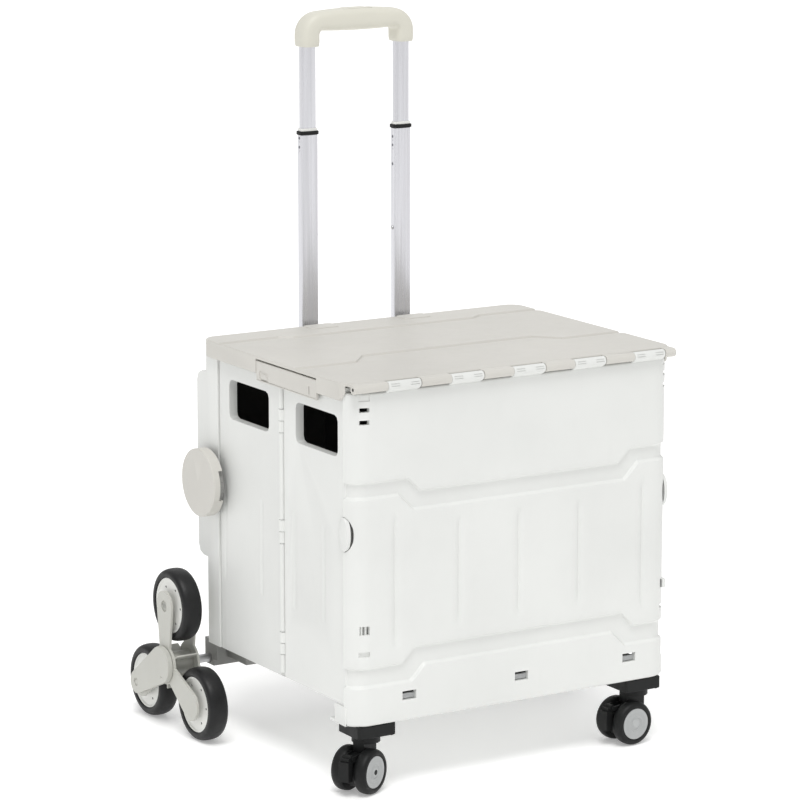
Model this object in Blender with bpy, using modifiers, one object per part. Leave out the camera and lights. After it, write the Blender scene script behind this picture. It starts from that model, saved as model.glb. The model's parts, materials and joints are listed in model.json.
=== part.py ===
"""Folding crate trolley with a telescopic handle, twin-wheel casters and tri-wheel stair climbers.

Metres, +Z up, ground at z = 0. The crate's front faces -Y. While a piece is being made, y is the
depth behind the front face; one empty then moves the whole model so that its box is centred.
"""
import math

import bmesh
import bpy
from mathutils import Matrix, Vector

# ---------------------------------------------------------------- driving dimensions
GAP = 0.0003                      # air between pieces that touch
CENTRE_DEPTH = 0.2120             # depth of the middle of the whole trolley's box

HALF_WIDTH = 0.210                # crate
SHELL_BOTTOM = 0.0763
FRONT_TOP = 0.4425
SIDE_BOTTOM = 0.0991
SIDE_TOP = 0.4475
CORNER = 0.025                    # vertical corner radius of the front shell
WALL = 0.0035
GUTTER = 0.004                    # how far the front shell's two gutters are recessed
FRONT_SEAM = 0.0150               # depth where the front shell ends
REAR_SEAM = 0.2945                # depth where the back shell starts

SIDE_OUT = 0.206                  # side panels' outer and inner faces
SIDE_IN = 0.196
PIN_IN = 0.1955                   # end hinges lie on the inner face, the middle one on the outer
FRONT_PIN = 0.0205
REAR_PIN = 0.2825
MIDDLE_PIN = (FRONT_PIN + REAR_PIN) / 2
KNUCKLE = 0.004
NOTCH = 0.0046
PIN = 0.0015
HINGE_ZONES = ((0.1251, 0.1501), (0.2512, 0.2773), (0.3757, 0.4014))
HINGE_REACH = (0.1, 0.44)

LID_AXIS = (-0.003, 0.4487)       # depth and height of the lid's hinge
LID_KNUCKLE = 0.005
LID_ROD = 0.0018
LID_TOP = 0.4541
LID_UNDER = 0.4506
LID_HALF = 0.2125
LID_BACK = 0.325
CLIP_CENTRE, CLIP_PITCH, CLIP_HALF = 0.0138, 0.0795, 0.0205
LATCH = (0.066, 0.197)            # depth range of the latch flap in the lid's skirt
LATCH_AXIS = (0.2105, 0.4460)

FLOOR_AXIS = (0.0150, 0.0905)
FLOOR_HALF_THICK = 0.0035
FLOOR_PIN = 0.0028

TUBE_X, TUBE_Y = 0.0622, 0.3408
MID_TUBE = (0.022, 0.012)
INNER_TUBE = (0.019, 0.009)
TUBE_WALL = 0.0012
MID_BOTTOM, MID_TOP = 0.325, 0.6723
INNER_BOTTOM, INNER_TOP = 0.440, 0.795
COLLAR_TOP = 0.6765
GRIP_BOTTOM, GRIP_TOP = 0.773, 0.812

AXLE_Y, AXLE_Z = 0.336, 0.07625   # stair-climbing wheels
AXLE = 0.005
ARM = 0.0685
STAIR_WHEEL = 0.042
TYRE_HALF = 0.012
WHEEL_X = 0.240
OUTER_PLATE = (0.2545, 0.2575)
INNER_PLATE = (0.2235, 0.2265)

CASTER_X, CASTER_Y = 0.177, 0.0225
CASTER_TRAIL = 0.014
CASTER_WHEEL = 0.025
TWIN_OFFSET = 0.0155
CASTER_TURN = {-1: 26.0, 1: 5.0}  # degrees each caster stands turned from straight out to -X

LOCK_Y, LOCK_Z = 0.307, 0.2913    # round side locks
OVAL_Y, OVAL_Z = 0.0165, 0.2884   # oval side buttons
OVAL_POCKET, OVAL_STRETCH = 0.0106, 1.85

COLOURS = {                        # colour, roughness, metallic
    "white_plastic": ((0.86, 0.87, 0.84), 0.42, 0.0),
    "beige_plastic": ((0.67, 0.65, 0.61), 0.45, 0.0),
    "cream_plastic": ((0.78, 0.75, 0.66), 0.40, 0.0),
    "warm_grey_plastic": ((0.60, 0.58, 0.53), 0.45, 0.0),
    "grey_plastic": ((0.34, 0.34, 0.33), 0.50, 0.0),
    "black_plastic": ((0.02, 0.02, 0.02), 0.45, 0.0),
    "black_rubber": ((0.015, 0.015, 0.016), 0.60, 0.0),
    "hub_plastic": ((0.84, 0.84, 0.81), 0.42, 0.0),
    "aluminium": ((0.72, 0.72, 0.75), 0.28, 1.0),
    "steel": ((0.50, 0.50, 0.50), 0.35, 1.0),
}

# ---------------------------------------------------------------- scene
for old in list(bpy.data.objects):
    bpy.data.objects.remove(old, do_unlink=True)
PARTS = bpy.data.collections.new("stair_trolley")
CUTTERS = bpy.data.collections.new("cutters")
for collection in (PARTS, CUTTERS):
    bpy.context.scene.collection.children.link(collection)


def empty(name, location, parent=None, turn=0.0):
    """Empty that carries pieces; turn is in degrees about Z."""
    holder = bpy.data.objects.new(name, None)
    PARTS.objects.link(holder)
    holder.location = location
    holder.rotation_euler.z = math.radians(turn)
    holder.parent = parent
    return holder


ROOT = empty("trolley", (0.0, -CENTRE_DEPTH, 0.0))


def material(name):
    """Principled material from COLOURS, made once."""
    found = bpy.data.materials.get(name)
    if found:
        return found
    colour, roughness, metallic = COLOURS[name]
    made = bpy.data.materials.new(name)
    made.use_nodes = True
    shader = made.node_tree.nodes["Principled BSDF"]
    shader.inputs["Base Color"].default_value = (*colour, 1.0)
    shader.inputs["Roughness"].default_value = roughness
    shader.inputs["Metallic"].default_value = metallic
    return made


def solid(name, mesh, finish, parent=None):
    """Object from a mesh: a part when it has a finish, else a hidden cutter."""
    part = bpy.data.objects.new(name, mesh)
    part.parent = parent or ROOT
    if finish:
        mesh.materials.append(material(finish))
        mesh.shade_smooth()
        mesh.set_sharp_from_angle(angle=math.radians(35))
        PARTS.objects.link(part)
    else:
        part.hide_render = True
        part.display_type = "WIRE"
        CUTTERS.objects.link(part)
    return part


def from_bmesh(name, bm, finish, parent=None):
    mesh = bpy.data.meshes.new(name)
    bm.to_mesh(mesh)
    bm.free()
    return solid(name, mesh, finish, parent)


def add_box(bm, low, high):
    """Adds a box between two corners, given in any order, and returns its vertices."""
    low, high = Vector(low), Vector(high)
    size = Vector(abs(a - b) for a, b in zip(low, high))
    place = Matrix.Translation((low + high) / 2) @ Matrix.Diagonal((*size, 1.0))
    return bmesh.ops.create_cube(bm, size=1.0, matrix=place)["verts"]


def boxes(name, corners, finish=None, parent=None):
    """Separate boxes in one mesh, each a pair of corners."""
    bm = bmesh.new()
    for low, high in corners:
        add_box(bm, low, high)
    return from_bmesh(name, bm, finish, parent)


def block(name, low, high, finish=None, radius=0.0, along="Z", rim=0.0, steps=3, parent=None):
    """Box whose edges along one axis are rounded, and whose other edges can have a smaller rim."""
    bm = bmesh.new()
    add_box(bm, low, high)
    axis = "XYZ".index(along)

    def runs_along(edge):
        run = edge.verts[0].co - edge.verts[1].co
        return abs(run[axis]) > 0.999 * run.length
    if radius:
        edges = [e for e in bm.edges if runs_along(e)]
        bmesh.ops.bevel(bm, geom=edges, offset=radius, segments=steps, profile=0.5, affect="EDGES")
    if rim:
        ends = (min(v.co[axis] for v in bm.verts), max(v.co[axis] for v in bm.verts))
        edges = [e for e in bm.edges if not runs_along(e)
                 and any(all(abs(v.co[axis] - end) < 1e-6 for v in e.verts) for end in ends)]
        bmesh.ops.bevel(bm, geom=edges, offset=rim, segments=2, profile=0.5, affect="EDGES")
    return from_bmesh(name, bm, finish, parent)


AXIS_TURN = {"X": Matrix.Rotation(math.pi / 2, 4, "Y"),
             "Y": Matrix.Rotation(math.pi / 2, 4, "X"),
             "Z": Matrix.Identity(4)}


def add_rod(bm, axis, centre, radius, length, sides):
    bmesh.ops.create_cone(bm, cap_ends=True, segments=sides, radius1=radius, radius2=radius,
                          depth=length, matrix=Matrix.Translation(centre) @ AXIS_TURN[axis])


def rod(name, axis, centre, radius, length, finish=None, sides=16, squash=None, parent=None):
    """Cylinder; squash scales it about its centre to make an oval one."""
    bm = bmesh.new()
    add_rod(bm, axis, centre, radius, length, sides)
    if squash:
        bmesh.ops.scale(bm, vec=squash, verts=bm.verts, space=Matrix.Translation(-Vector(centre)))
    return from_bmesh(name, bm, finish, parent)


def stack(name, x, y, ranges, radius, finish=None, sides=8):
    """Upright cylinders on one line, one for each (low, high) range."""
    bm = bmesh.new()
    for low, high in ranges:
        add_rod(bm, "Z", (x, y, (low + high) / 2), radius, high - low, sides)
    return from_bmesh(name, bm, finish)


def plate(name, outline, facing, low, high, finish=None):
    """Flat outline, extruded from low to high along the axis that it faces."""
    curve = bpy.data.curves.new(name, "CURVE")
    curve.dimensions = "2D"
    curve.fill_mode = "BOTH"
    curve.extrude = (high - low) / 2
    spline = curve.splines.new("POLY")
    spline.points.add(len(outline) - 1)
    for point, (a, b) in zip(spline.points, outline):
        point.co = (a, b, 0.0, 1.0)
    spline.use_cyclic_u = True
    guide = bpy.data.objects.new(name, curve)
    CUTTERS.objects.link(guide)
    bpy.context.view_layer.update()
    flat = bpy.data.meshes.new_from_object(guide.evaluated_get(bpy.context.evaluated_depsgraph_get()))
    bpy.data.objects.remove(guide)
    turn = {"X": Matrix(((0, 0, 1, 0), (1, 0, 0, 0), (0, 1, 0, 0), (0, 0, 0, 1))),
            "Y": Matrix(((1, 0, 0, 0), (0, 0, -1, 0), (0, 1, 0, 0), (0, 0, 0, 1)))}[facing]
    shift = Vector(((low + high) / 2 if facing == axis else 0.0) for axis in "XYZ")
    bm = bmesh.new()
    bm.from_mesh(flat)
    bmesh.ops.remove_doubles(bm, verts=bm.verts, dist=1e-6)
    bmesh.ops.transform(bm, matrix=Matrix.Translation(shift) @ turn, verts=bm.verts)
    bmesh.ops.recalc_face_normals(bm, faces=bm.faces)
    bpy.data.meshes.remove(flat)
    return from_bmesh(name, bm, finish)


def turned(name, profile, finish, centre, steps, axis_turn=AXIS_TURN["X"], parent=None):
    """Closed profile of (radius, height) turned about the part's own Z, which is then tipped over."""
    mesh = bpy.data.meshes.new(name)
    count = len(profile)
    mesh.from_pydata([(r, 0.0, z) for r, z in profile], [(i, (i + 1) % count) for i in range(count)], [])
    part = solid(name, mesh, finish, parent)
    part.matrix_local = Matrix.Translation(centre) @ axis_turn
    screw = part.modifiers.new("turn", "SCREW")
    screw.steps = screw.render_steps = steps
    screw.use_merge_vertices = True
    screw.merge_threshold = 1e-6
    screw.use_smooth_shade = True
    return part


def cut(part, *cutters):
    for cutter in cutters:
        boolean = part.modifiers.new(cutter.name, "BOOLEAN")
        boolean.operation = "DIFFERENCE"
        boolean.object = cutter


def join(part, *pieces):
    for piece in pieces:
        boolean = part.modifiers.new(piece.name, "BOOLEAN")
        boolean.operation = "UNION"
        boolean.object = piece


def pivot(part, point):
    """Moves the part's origin to its joint's axis and leaves its shape where it is."""
    part.data.transform(Matrix.Translation(-Vector(point)))
    part.location = point


def gaps_between(ranges, low, high):
    """The stretches of low..high that the ranges leave free."""
    edges = [low] + [value for pair in ranges for value in pair] + [high]
    return list(zip(edges[::2], edges[1::2]))


def side_name(side):
    return "left" if side < 0 else "right"


LOWER_HALVES = [(low, (low + high) / 2 - GAP) for low, high in HINGE_ZONES]
UPPER_HALVES = [((low + high) / 2 + GAP, high) for low, high in HINGE_ZONES]
CLIPS = [(CLIP_CENTRE + k * CLIP_PITCH - CLIP_HALF, CLIP_CENTRE + k * CLIP_PITCH + CLIP_HALF)
         for k in range(-2, 3)]


# ---------------------------------------------------------------- front shell
FRONT_SHIFT = 0.0078              # the panel's features sit this far right of the crate's middle
GUTTERS = {"upper": ((0.3292, 0.3443), 0.1300, (0.3097, 0.3278), 0.1376),
           "lower": ((0.1563, 0.1400), 0.1352, (0.1363, 0.1197), 0.1234)}
PANEL_GROOVES = ((-0.1604, 0.160, 0.306), (-0.0790, 0.173, 0.295), (-0.0018, 0.175, 0.293),
                 (0.0775, 0.173, 0.293), (0.1629, 0.160, 0.304))
GROOVE_RADIUS, GROOVE_DEPTH = 0.0200, 0.0020
SLOT_X, SLOT_HALF, SLOT_Z = (-0.1354, 0.0099, 0.1541), 0.0088, (0.0992, 0.1094)
CORNER_SLOTS = ((0.4085, 0.4135), (0.4220, 0.4270), (0.1540, 0.1592), (0.1782, 0.1880))
CORNER_SLOT_X = (0.1885, 0.2030)
TOE_X, TOE_Y, TOE_TOP = (0.2050, 0.2085), (0.0130, 0.0360), 0.0975
SHELF_X, SHELF_BACK, SHELF_TOP = (0.1500, 0.2083), 0.0465, 0.0796
WEB_X = (0.1915, 0.1952)          # ribs that carry the end hinges' knuckles
BEARING_X, BEARING_BACK, BEARING_Z = (0.1862, 0.1902), 0.0192, (0.0785, 0.0948)
FAR = 0.3                         # beyond the crate on every side, for trimming


def band(name, top, top_half, low, low_half, grow=0.0):
    """Gutter across the front: its two edges step by a ramp near the sides."""
    (top_mid, top_side), (low_mid, low_side) = top, low
    reach = HALF_WIDTH + 0.02
    upper = [(top_half + abs(top_side - top_mid), top_side + grow), (top_half, top_mid + grow)]
    lower = [(low_half, low_mid - grow), (low_half + abs(low_side - low_mid), low_side - grow)]

    def run(points):
        """Left to right through the mirrored points, shifted to the panel's middle."""
        mirrored = [(FRONT_SHIFT - x, z) for x, z in points] + [(FRONT_SHIFT + x, z) for x, z in points[::-1]]
        return [(-reach, points[0][1]), *mirrored, (reach, points[0][1])]
    return plate(name, run(upper) + run(lower[::-1])[::-1], "Y", -0.02, 0.06)


def front_layer(name, inset, bottom=SHELL_BOTTOM - 0.01, top=FRONT_TOP + 0.01, rim=0.0, finish=None):
    """The front shell's rounded outline, inset all round."""
    return block(name, (-HALF_WIDTH + inset, inset, bottom), (HALF_WIDTH - inset, 0.080, top),
                 finish, radius=CORNER - inset, rim=rim, steps=4)


def front_openings(shell):
    """Panel grooves, the three slots of the bottom band and the corner slots."""
    bm = bmesh.new()
    for x, low, high in PANEL_GROOVES:
        add_rod(bm, "Z", (FRONT_SHIFT + x, GROOVE_DEPTH - GROOVE_RADIUS, (low + high) / 2), GROOVE_RADIUS,
                high - low, 24)
    cut(shell, from_bmesh("panel_grooves", bm, None))

    slot_back, corner_slot_back = 0.0072, 0.0095
    slots = [((x - SLOT_HALF, -0.01, SLOT_Z[0]), (x + SLOT_HALF, slot_back, SLOT_Z[1])) for x in SLOT_X]
    slots += [((side * CORNER_SLOT_X[0], -0.002, low), (side * CORNER_SLOT_X[1], corner_slot_back, high))
              for side in (-1, 1) for low, high in CORNER_SLOTS]
    cut(shell, boxes("front_slots", slots))


def front_side_details(shell, side):
    """Toe and shelf under the side wall, hinge ears, floor bearing and the oval button's notch."""
    name = side_name(side)
    toe = [((side * TOE_X[1], TOE_Y[0], SHELL_BOTTOM), (side * TOE_X[0], TOE_Y[1], TOE_TOP)),
           ((side * SHELF_X[0], TOE_Y[0], SHELL_BOTTOM + 1e-4), (side * SHELF_X[1], SHELF_BACK, SHELF_TOP))]
    join(shell, *(boxes(f"toe_{name}_{i}", [corners]) for i, corners in enumerate(toe)))
    inside_front = 0.0025
    webs = [((side * WEB_X[1], inside_front, low), (side * WEB_X[0], FRONT_PIN, high))
            for low, high in UPPER_HALVES]
    join(shell, boxes(f"front_ear_webs_{name}", webs))
    join(shell, stack(f"front_ears_{name}", side * PIN_IN, FRONT_PIN, UPPER_HALVES, KNUCKLE))
    cut(shell, stack(f"front_ear_bore_{name}", side * PIN_IN, FRONT_PIN, [HINGE_REACH], PIN + GAP))
    bearing = boxes(f"floor_bearing_{name}", [((side * BEARING_X[0], inside_front, BEARING_Z[0]),
                                               (side * BEARING_X[1], BEARING_BACK, BEARING_Z[1]))])
    cut(bearing, rod(f"floor_bearing_bore_{name}", "X", (side * sum(BEARING_X) / 2, *FLOOR_AXIS),
                     FLOOR_PIN + GAP, 0.02, sides=10))
    join(shell, bearing)
    notch_x, notch_length = 0.2086, 0.0170
    cut(shell, rod(f"oval_notch_{name}", "X", (side * notch_x, OVAL_Y, OVAL_Z), OVAL_POCKET, notch_length,
                   squash=(1.0, 1.0, OVAL_STRETCH)))


def make_front_shell():
    rim = 0.0025
    shell = front_layer("front_shell", 0.0, SHELL_BOTTOM, FRONT_TOP, rim, "white_plastic")
    inside = front_layer("front_inside", WALL, SHELL_BOTTOM + WALL)
    for key, (top, top_half, low, low_half) in GUTTERS.items():
        groove = band(f"gutter_{key}", top, top_half, low, low_half)
        cut(groove, front_layer(f"gutter_{key}_bed", GUTTER))
        cut(shell, groove)
        rib = band(f"rib_{key}", top, top_half, low, low_half, WALL)
        cut(rib, front_layer(f"rib_{key}_bed", GUTTER + WALL))
        cut(inside, rib)
    cut(shell, inside)
    cut(shell, boxes("front_trim", [((-FAR, FRONT_SEAM, 0.0), (FAR, 2 * FAR, 2 * FAR))]))
    front_openings(shell)
    for side in (-1, 1):
        front_side_details(shell, side)

    y, z = LID_AXIS
    bm = bmesh.new()
    for low, high in CLIPS:
        add_rod(bm, "X", ((low + high) / 2, y, z), LID_KNUCKLE, high - low, 12)
    join(shell, from_bmesh("lid_clips", bm, None))
    web_y, web_z = (0.0003, 0.0034), (0.4380, 0.4495)
    join(shell, boxes("lid_clip_webs", [((low, web_y[0], web_z[0]), (high, web_y[1], web_z[1]))
                                        for low, high in CLIPS]))
    cut(shell, rod("lid_clip_bore", "X", (0.0, y, z), LID_ROD + GAP, 0.5, sides=10))
    left, right, back, bar_z = -0.152, 0.168, 0.0072, (0.1000, 0.1056)
    boxes("front_tie_bar", [((left, WALL + GAP, bar_z[0]), (right, back, bar_z[1]))], "grey_plastic")


# ---------------------------------------------------------------- side panels
WINDOW_Z, WINDOW_RADIUS = (0.3697, 0.4150), 0.007
WINDOWS = {"front": (0.031, 0.121), "rear": (0.180, 0.270)}
POCKET_FACE = 0.2028              # inner pockets that lighten the panels
POCKET_Z = ((0.1080, 0.2300), (0.2330, 0.3600))
PIN_REACH = (0.1225, 0.4040)
OVAL_RADIUS, OVAL_THICK = 0.0100, 0.0044
OVAL_GUIDE_Y = 0.0270


def make_panel(side, kind, depth, end_pin, middle_ranges):
    """One half of a side wall, with a window, two inner pockets, knuckles and the notches between them."""
    name = side_name(side)
    part = block(f"side_{kind}_{name}", (side * SIDE_IN, depth[0], SIDE_BOTTOM),
                 (side * SIDE_OUT, depth[1], SIDE_TOP), "white_plastic", radius=0.0018, along="Z", steps=2)
    window = WINDOWS[kind]
    cut(part, block(f"window_{kind}_{name}", (side * (SIDE_IN - 0.006), window[0], WINDOW_Z[0]),
                    (side * (SIDE_OUT + 0.014), window[1], WINDOW_Z[1]),
                    radius=WINDOW_RADIUS, along="X", steps=2))
    inward = math.copysign(1.0, MIDDLE_PIN - end_pin)
    pocket_y = sorted((end_pin + inward * 0.011, MIDDLE_PIN - inward * 0.010))
    pockets = [((side * (SIDE_IN - 0.006), pocket_y[0], low), (side * POCKET_FACE, pocket_y[1], high))
               for low, high in POCKET_Z]
    cut(part, boxes(f"pocket_{kind}_{name}", pockets))
    hinges = (("end", PIN_IN, end_pin, LOWER_HALVES), ("middle", SIDE_OUT, MIDDLE_PIN, middle_ranges))
    for label, x, y, ranges in hinges:
        tag = f"{label}_{kind}_{name}"
        free = gaps_between(ranges, SIDE_BOTTOM - 0.01, SIDE_TOP + 0.01)
        cut(part, stack(f"notch_{tag}", side * x, y, free, NOTCH))
        join(part, stack(f"knuckle_{tag}", side * x, y, ranges, KNUCKLE))
        cut(part, stack(f"bore_{tag}", side * x, y, [(0.09, 0.46)], PIN + GAP))
    return part


def make_side(side):
    name = side_name(side)
    rear = make_panel(side, "rear", (MIDDLE_PIN + GAP, REAR_SEAM - 0.001), REAR_PIN, LOWER_HALVES)
    front = make_panel(side, "front", (FRONT_SEAM + 0.0007, MIDDLE_PIN - GAP), FRONT_PIN, UPPER_HALVES)
    pivot(rear, (side * PIN_IN, REAR_PIN, 0.0))
    pivot(front, (side * SIDE_OUT, MIDDLE_PIN, 0.0))
    pocket_x, pocket_length = 0.210, 0.0220
    cut(front, rod(f"oval_pocket_{name}", "X", (side * pocket_x, OVAL_Y, OVAL_Z), OVAL_POCKET, pocket_length,
                   squash=(1.0, 1.0, OVAL_STRETCH)))
    cut(front, rod(f"oval_guide_{name}", "X", (side * 0.200, OVAL_GUIDE_Y, OVAL_Z), 0.0019, 0.0200, sides=8))

    pins = (("front", PIN_IN, FRONT_PIN), ("middle", SIDE_OUT, MIDDLE_PIN), ("rear", PIN_IN, REAR_PIN))
    for label, x, y in pins:
        stack(f"{label}_hinge_pin_{name}", side * x, y, [PIN_REACH], PIN, "steel")

    button_x, dome_x, stem_x = 0.2055, 0.2070, 0.2015
    oval = rod(f"oval_button_{name}", "X", (side * button_x, OVAL_Y, OVAL_Z), OVAL_RADIUS, OVAL_THICK,
               "white_plastic", squash=(1.0, 1.0, OVAL_STRETCH + 0.02))
    bm = bmesh.new()
    bmesh.ops.create_uvsphere(bm, u_segments=16, v_segments=6, radius=1.0,
                              matrix=Matrix.Translation((side * dome_x, OVAL_Y, OVAL_Z))
                              @ Matrix.Diagonal((0.0048, 0.0099, 0.0186, 1.0)) @ AXIS_TURN["X"])
    join(oval, from_bmesh(f"oval_dome_{name}", bm, None))
    join(oval, rod(f"oval_stem_{name}", "X", (side * stem_x, OVAL_GUIDE_Y, OVAL_Z), 0.0015, 0.0070, sides=8))


# ---------------------------------------------------------------- back shell
BACK_SIDE, BACK_FACE, BULGE_FACE = 0.2075, 0.329, 0.343
BULGE_Z = (0.2000, 0.4150)
BULGE_ROOM = (0.2060, 0.4090)
COLUMN_HALF, COLUMN_Y = 0.016, (0.3270, 0.3555)
CHANNEL_SLACK, CHANNEL_BOTTOM = 0.0005, 0.1040
BRACKET_Y, BRACKET_Z = (0.3260, 0.3460), (0.0683, 0.0842)
LEDGE_HALF, LEDGE_Y, LEDGE_Z = 0.1800, (0.2830, 0.3300), (0.0763, 0.0865)
BRACKET_END_X, BRACKET_END_Y, BRACKET_END_Z = (0.1875, 0.1990), (0.3180, 0.3462), (0.0760, 0.0988)


def make_back_shell():
    shell = block("back_shell", (-BACK_SIDE, 0.250, SIDE_BOTTOM), (BACK_SIDE, BACK_FACE, SIDE_TOP),
                  "white_plastic", radius=0.010, steps=4)
    join(shell, block("bulge", (-BACK_SIDE, 0.2800, BULGE_Z[0]), (BACK_SIDE, BULGE_FACE, BULGE_Z[1]),
                      radius=0.012, along="X", steps=2))
    room = BACK_SIDE - WALL
    cut(shell, boxes("back_inside", [((-room, 0.24, SIDE_BOTTOM + WALL), (room, BACK_FACE - WALL, 0.46))]))
    cut(shell, boxes("bulge_inside", [((-room, 0.24, BULGE_ROOM[0]),
                                       (room, BULGE_FACE - WALL, BULGE_ROOM[1]))]))
    cut(shell, boxes("back_trim", [((-FAR, 0.2, 0.0), (FAR, REAR_SEAM, 2 * FAR))]))
    for end in (-1, 1):
        name = side_name(end)
        join(shell, boxes(f"jamb_{name}", [((end * 0.2065, REAR_SEAM + 1e-4, SIDE_BOTTOM + 1e-4),
                                            (end * 0.1905, 0.2985, SIDE_TOP - 1e-4))]))
        webs = [((end * WEB_X[1], REAR_PIN, low), (end * WEB_X[0], 0.2960, high))
                for low, high in UPPER_HALVES]
        join(shell, boxes(f"rear_ear_webs_{name}", webs))
        join(shell, stack(f"rear_ears_{name}", end * PIN_IN, REAR_PIN, UPPER_HALVES, KNUCKLE))
        cut(shell, stack(f"rear_ear_bore_{name}", end * PIN_IN, REAR_PIN, [HINGE_REACH], PIN + GAP))
        join(shell, block(f"column_{name}", (end * TUBE_X - COLUMN_HALF, COLUMN_Y[0], SIDE_BOTTOM + 0.0002),
                          (end * TUBE_X + COLUMN_HALF, COLUMN_Y[1], SIDE_TOP - 0.0002), radius=0.006))
        half_x, half_y = MID_TUBE[0] / 2 + CHANNEL_SLACK, MID_TUBE[1] / 2 + CHANNEL_SLACK
        cut(shell, block(f"tube_channel_{name}", (end * TUBE_X - half_x, TUBE_Y - half_y, CHANNEL_BOTTOM),
                         (end * TUBE_X + half_x, TUBE_Y + half_y, 0.50), radius=0.004))

    reach = BRACKET_END_X[1] - 0.0002
    bracket = boxes("rear_axle_bracket", [((-reach, BRACKET_Y[0], BRACKET_Z[0]),
                                           (reach, BRACKET_Y[1], BRACKET_Z[1]))], "grey_plastic")
    join(bracket, boxes("floor_ledge", [((-LEDGE_HALF, LEDGE_Y[0], LEDGE_Z[0]),
                                         (LEDGE_HALF, LEDGE_Y[1], LEDGE_Z[1]))]))
    for end in (-1, 1):
        corners = [(end * x, y, z) for x, y, z in zip(BRACKET_END_X, BRACKET_END_Y, BRACKET_END_Z)]
        join(bracket, boxes(f"bracket_end_{side_name(end)}", [corners]))
    cut(bracket, rod("axle_bore", "X", (0.0, AXLE_Y, AXLE_Z), AXLE + GAP, 0.6))
    rod("axle", "X", (0.0, AXLE_Y, AXLE_Z), AXLE, 2 * OUTER_PLATE[1], "steel")


# ---------------------------------------------------------------- floor, lid and latches
FLOOR_HALF, FLOOR_FRONT = 0.185, 0.004
LID_FRONT, SKIRT, SKIRT_BOTTOM = 0.0035, 0.004, 0.4340
TAB_SLACK = 0.0005
LATCH_FACE = (0.2088, 0.2122)
LATCH_BOTTOM = 0.4260


def make_floor():
    y, z = FLOOR_AXIS
    board = block("floor_board", (-FLOOR_HALF, y - FLOOR_FRONT, z - FLOOR_HALF_THICK),
                  (FLOOR_HALF, REAR_SEAM - 0.001, z + FLOOR_HALF_THICK), "white_plastic",
                  radius=0.002, along="X", steps=2)
    join(board, *(rod(f"floor_pin_{side_name(side)}", "X", (side * (FLOOR_HALF + 0.0025), y, z),
                      FLOOR_PIN, 0.008, sides=10) for side in (-1, 1)))
    pivot(board, (0.0, y, z))


def make_lid():
    y, z = LID_AXIS
    lid = block("lid", (-LID_HALF, LID_FRONT, SKIRT_BOTTOM), (LID_HALF, LID_BACK, LID_TOP), "beige_plastic",
                radius=0.012, steps=4, rim=0.0015)
    cut(lid, boxes("lid_inside", [((-LID_HALF + SKIRT, -0.01, 0.42),
                                   (LID_HALF - SKIRT, LID_BACK - WALL, LID_UNDER))]))
    cut(lid, boxes("lid_skirt_trim", [((-FAR, -0.01, 0.42), (FAR, 0.0110, LID_UNDER - 0.0002)),
                                      ((-FAR, 0.3125, 0.42), (FAR, 0.35, 0.4482))]))
    tabs = gaps_between(CLIPS, -0.2080, 0.2080)
    bm = bmesh.new()
    for low, high in tabs:
        add_rod(bm, "X", ((low + high) / 2, y, z), LID_KNUCKLE, high - low - 2 * TAB_SLACK, 12)
    join(lid, from_bmesh("lid_tabs", bm, None))
    webs = [((low + TAB_SLACK, y, LID_UNDER + 1e-4), (high - TAB_SLACK, 0.0080, 0.4536)) for low, high in tabs]
    join(lid, boxes("lid_tab_webs", webs))
    cut(lid, rod("lid_bore", "X", (0.0, y, z), LID_ROD + GAP, 0.5, sides=10))
    rod("lid_hinge_rod", "X", (0.0, y, z), LID_ROD, 0.415, "steel", sides=10)
    for side in (-1, 1):
        make_latch(lid, side)


def make_latch(lid, side):
    """Flap in the lid's skirt, on two small pins, with a slot and an inner boss."""
    name = side_name(side)
    x_pin, z_pin = LATCH_AXIS
    cut(lid, boxes(f"latch_gap_{name}", [((side * 0.2080, LATCH[0] - 0.0006, 0.42),
                                          (side * 0.22, LATCH[1] + 0.0006, LID_UNDER - 0.0002))]))
    join(lid, *(rod(f"latch_pin_{name}_{i}", "Y", (side * x_pin, at, z_pin), 0.0010, 0.006, sides=8)
                for i, at in enumerate(LATCH)))
    flap = block(f"lid_latch_{name}", (side * LATCH_FACE[0], LATCH[0], LATCH_BOTTOM),
                 (side * LATCH_FACE[1], LATCH[1], LID_UNDER - 0.0022), "beige_plastic",
                 radius=0.0012, along="Y", steps=2)
    cut(flap, boxes(f"latch_slot_{name}", [((side * 0.20, 0.0805, 0.4300), (side * 0.22, 0.0825, 0.4390))]))
    join(flap, block(f"latch_boss_{name}", (side * 0.2075, 0.1700, 0.4275), (side * 0.2092, 0.1850, 0.4330)))
    cut(flap, *(rod(f"latch_bore_{name}_{i}", "Y", (side * x_pin, at, z_pin), 0.0013, 0.008, sides=8)
                for i, at in enumerate(LATCH)))
    pivot(flap, (side * x_pin, LATCH[0], z_pin))


# ---------------------------------------------------------------- telescopic handle
COLLAR, COLLAR_WALL = (0.0245, 0.0145), 0.0024
GRIP_HALF_X, GRIP_HALF_Y, SHOULDER = 0.0748, 0.015, 0.022
HAND_HALF, HAND_TOP = 0.0498, 0.7900
BUTTON_HALF, BUTTON_Z = (0.0180, 0.0080), (0.8045, 0.8143)
WELL_BOTTOM = 0.8010


def tube(name, x, size, low, high, finish, wall=TUBE_WALL, radius=0.0035):
    half_x, half_y = size[0] / 2, size[1] / 2
    part = block(name, (x - half_x, TUBE_Y - half_y, low), (x + half_x, TUBE_Y + half_y, high), finish,
                 radius=radius, steps=3)
    cut(part, block(f"{name}_bore", (x - half_x + wall, TUBE_Y - half_y + wall, low - 0.01),
                    (x + half_x - wall, TUBE_Y + half_y - wall, high + 0.01),
                    radius=radius - wall / 2, steps=3))
    pivot(part, (x, TUBE_Y, low))
    return part


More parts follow.
